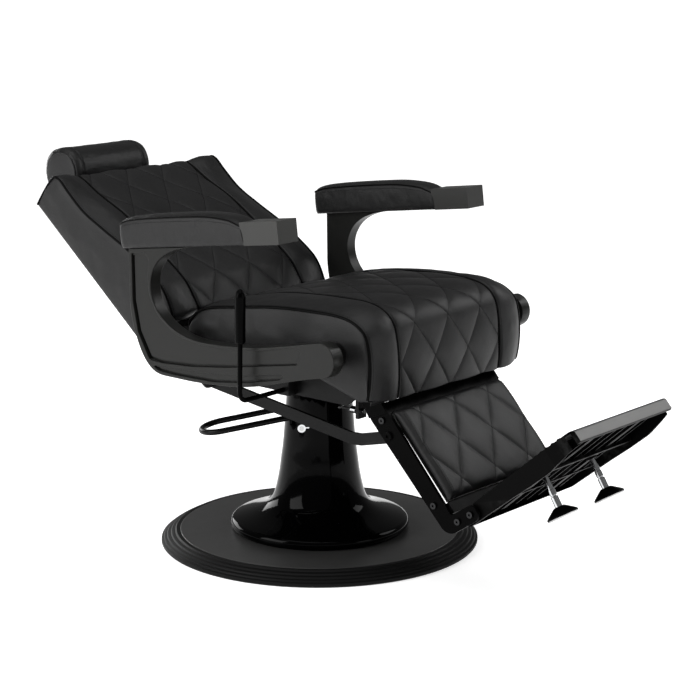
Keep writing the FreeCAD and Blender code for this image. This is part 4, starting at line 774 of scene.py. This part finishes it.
for x in (-101.0, -93.0, 93.0, 101.0):
    a = np.linspace(0, 2 * math.pi, 200)
    j = int(np.argmin(np.abs(xs - x)))
    r = np.interp(a, th, rad[:, j]) + 0.2
    k = 1.0 + 0.02 * np.cos(4 * a)
    p = np.stack([np.full(200, x), RC[0] + r * k * np.cos(a), RC[1] + r * k * np.sin(a)], 1)
    n = np.stack([np.zeros(200), np.cos(a), np.sin(a)], 1)
    st += stitch_mesh(to_back(p), turn_back(n), pitch=4.6, length=3.3)
V, F = join(st)
make("headrest_stitching", V, F, [M["thread"]], "headrest")

# ---------------------------------------------------------------- arm pads
PAD_TOP = [(10, 40), (9.5, 54), (4, 61), (-14, 66), (-50, 68.6), (-110, 69.8), (-180, 69.8), (-240, 68.2), (-285, 62.5), (-308, 57), (-330, 47)]
top_c, _ = even(PAD_TOP, 150)


def pad_grid():
    """Rings round the pad: bottom, side, piping line, crowned top."""
    ys = np.concatenate([np.linspace(10, -4, 12)[:-1], np.linspace(-4, -318, 128), np.linspace(-318, -332, 9)[1:]])
    zt = np.interp(-ys, -top_c[:, 0], top_c[:, 1])
    rows = []
    n = 17
    for y, z1 in zip(ys, zt):
        kr = np.clip((10.5 - y) / 13.0, 0, 1)
        rear = math.sqrt(max(0.0, 1 - (1 - kr) ** 2))
        half = 29.3 * (0.82 + 0.18 * rear)
        ring = []
        zp = z1 - 8.5 * max(0.35, rear)
        slant = lambda z: -8.0 * (1 - z / 47.0) if y < -300 else 0.0
        k = sstep(-300.0, -332.0, y) if y < -300 else 0.0
        zr = np.linspace(0, 1, n)
        side = [(half + 1.6 * math.sin(math.pi * v) ** 0.8 - 0.9 * math.exp(-((1 - v) * (zp) / 3.0) ** 2) - 2.2 * math.exp(-(v * zp / 4.0) ** 2), 1.2 + (zp - 1.2) * v) for v in zr]
        tt = np.linspace(0, math.pi, 34)[1:-1]
        crown = []
        for a in tt:
            cx = half * math.cos(a)
            e = 1 - abs(math.cos(a)) ** 3.4
            crown.append((cx * (0.985 if e > 0.02 else 1), zp + (z1 - zp) * e ** 0.8 + 0.6 * math.exp(-((half - abs(cx)) / 2.0) ** 2)))
        left = [(-x, z) for x, z in reversed(side)]
        bot = [(-half * f, 1.2) for f in (0.75, 0.4, 0.0, -0.4, -0.75)]
        for x, z in side + crown + left + bot:
            ring.append((x, y + k * (-8.0 * (1 - min(z, 47.0) / 47.0)), z))
        rows.append(ring)
    return np.array(rows), ys, zt, n


R, ys, zt, n_side = pad_grid()
for i in range(R.shape[0]):
    w = 0.5 * vnoise(R[i, :, 1] / 22 + 4, R[i, :, 2] / 18 + R[i, :, 0] / 25, 81) + 0.25 * vnoise(R[i, :, 1] / 8, R[i, :, 2] / 9, 82)
    R[i, :, 0] += w * np.sign(R[i, :, 0]) * (np.abs(R[i, :, 0]) > 12)
m = R.shape[1]
ends = [tuple(range(m - 1, -1, -1)), tuple((R.shape[0] - 1) * m + k for k in range(m))]
FP = [(i * m + k, i * m + (k + 1) % m, (i + 1) * m + (k + 1) % m, (i + 1) * m + k) for i in range(R.shape[0] - 1) for k in range(m)] + ends
for sgn, side in ((-1, "right"), (1, "left")):
    place = rot(-6.9, 240.0, 668.2)
    V = place(R.reshape(-1, 3))
    V[:, 0] += sgn * 319.0
    pad = make("arm_pad_upholstery_" + side, V, FP, [M["leather_side"]], "seat")
    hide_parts("arm_pad_" + side)
    pp, st = [], []
    for e in (-1, 1):
        k = n_side - 1 if e > 0 else n_side + 32
        line = R[1:-1, k, :].copy()
        q = place(line + np.array([e * 0.4, 0, 0.6]))
        q[:, 0] += sgn * 319.0
        pp.append(tube_mesh(q, 1.7, 8))
        for dz in (-4.5,):
            kk = n_side - 3 if e > 0 else n_side + 34
            l2 = R[2:-2, kk, :].copy()
            q2 = place(l2)
            q2[:, 0] += sgn * 319.0
            nn = np.tile(np.array([[e * 1.0, 0, 0]]), (len(q2), 1))
            st += stitch_mesh(q2, nn, pitch=5.0, length=3.5, lift=0.3)
    V, F = join(pp)
    make("arm_pad_piping_" + side, V, F, [M["piping_leather_painted_shade"]], "seat")
    V, F = join(st)
    make("arm_pad_stitching_" + side, V, F, [M["thread"]], "seat")

# ---------------------------------------------------------------- floor and light
me = bpy.data.meshes.new("floor")
me.from_pydata([(-90, -90, 0), (90, -90, 0), (90, 90, 0), (-90, 90, 0)], [], [(0, 1, 2, 3)])
floor = bpy.data.objects.new("floor", me)
bpy.context.collection.objects.link(floor)
fm = Mat("floor_pale")
fcol = fm.ramp(fm.noise(0.6, 2.0, 0.5), [(0.3, 0.90), (0.7, 0.915)])
fm.b.inputs["Emission Color"].default_value = (1.0, 1.0, 1.0, 1.0)
fm.b.inputs["Emission Strength"].default_value = 0.62
me.materials.append(fm.put(color=fcol, rough=0.85, spec=0.1))

world = bpy.data.worlds.new("studio")
bpy.context.scene.world = world
world.use_nodes = True
world.node_tree.nodes["Background"].inputs["Color"].default_value = (1.0, 1.0, 1.0, 1.0)
world.node_tree.nodes["Background"].inputs["Strength"].default_value = 0.16


def area(name, at, to, size, power, size_y=None):
    d = bpy.data.lights.new(name, "AREA")
    d.shape = "RECTANGLE"
    d.size = size
    d.size_y = size_y or size
    d.energy = power
    o = bpy.data.objects.new(name, d)
    o.location = at
    o.rotation_euler = (Vector(to) - Vector(at)).to_track_quat("-Z", "Y").to_euler()
    bpy.context.collection.objects.link(o)
    return o


def sun(name, direction, strength, angle):
    d = bpy.data.lights.new(name, "SUN")
    d.energy = strength
    d.angle = math.radians(angle)
    o = bpy.data.objects.new(name, d)
    o.rotation_euler = Vector(direction).to_track_quat("-Z", "Y").to_euler()
    bpy.context.collection.objects.link(o)


sun("overhead", (0.15, 0.1, -1.0), 1.45, 60.0)
area("left_key", (-2.7, 1.15, 1.45), (0.0, 0.0, 0.55), 1.8, 60.0, 1.8)
area("back_strip", (0.6, 3.7, 1.1), (0.0, 0.0, 0.2), 2.4, 50.0, 1.2)
area("front_fill", (0.4, -3.8, 1.2), (0.0, -0.3, 0.4), 1.4, 14.0, 1.4)
area("high_right", (2.7, -1.6, 2.4), (0.0, -0.5, 0.4), 1.6, 31.0, 1.6)

bpy.context.scene.view_settings.view_transform = "Standard"
bpy.context.scene.view_settings.look = "None"

bpy.context.view_layer.update()
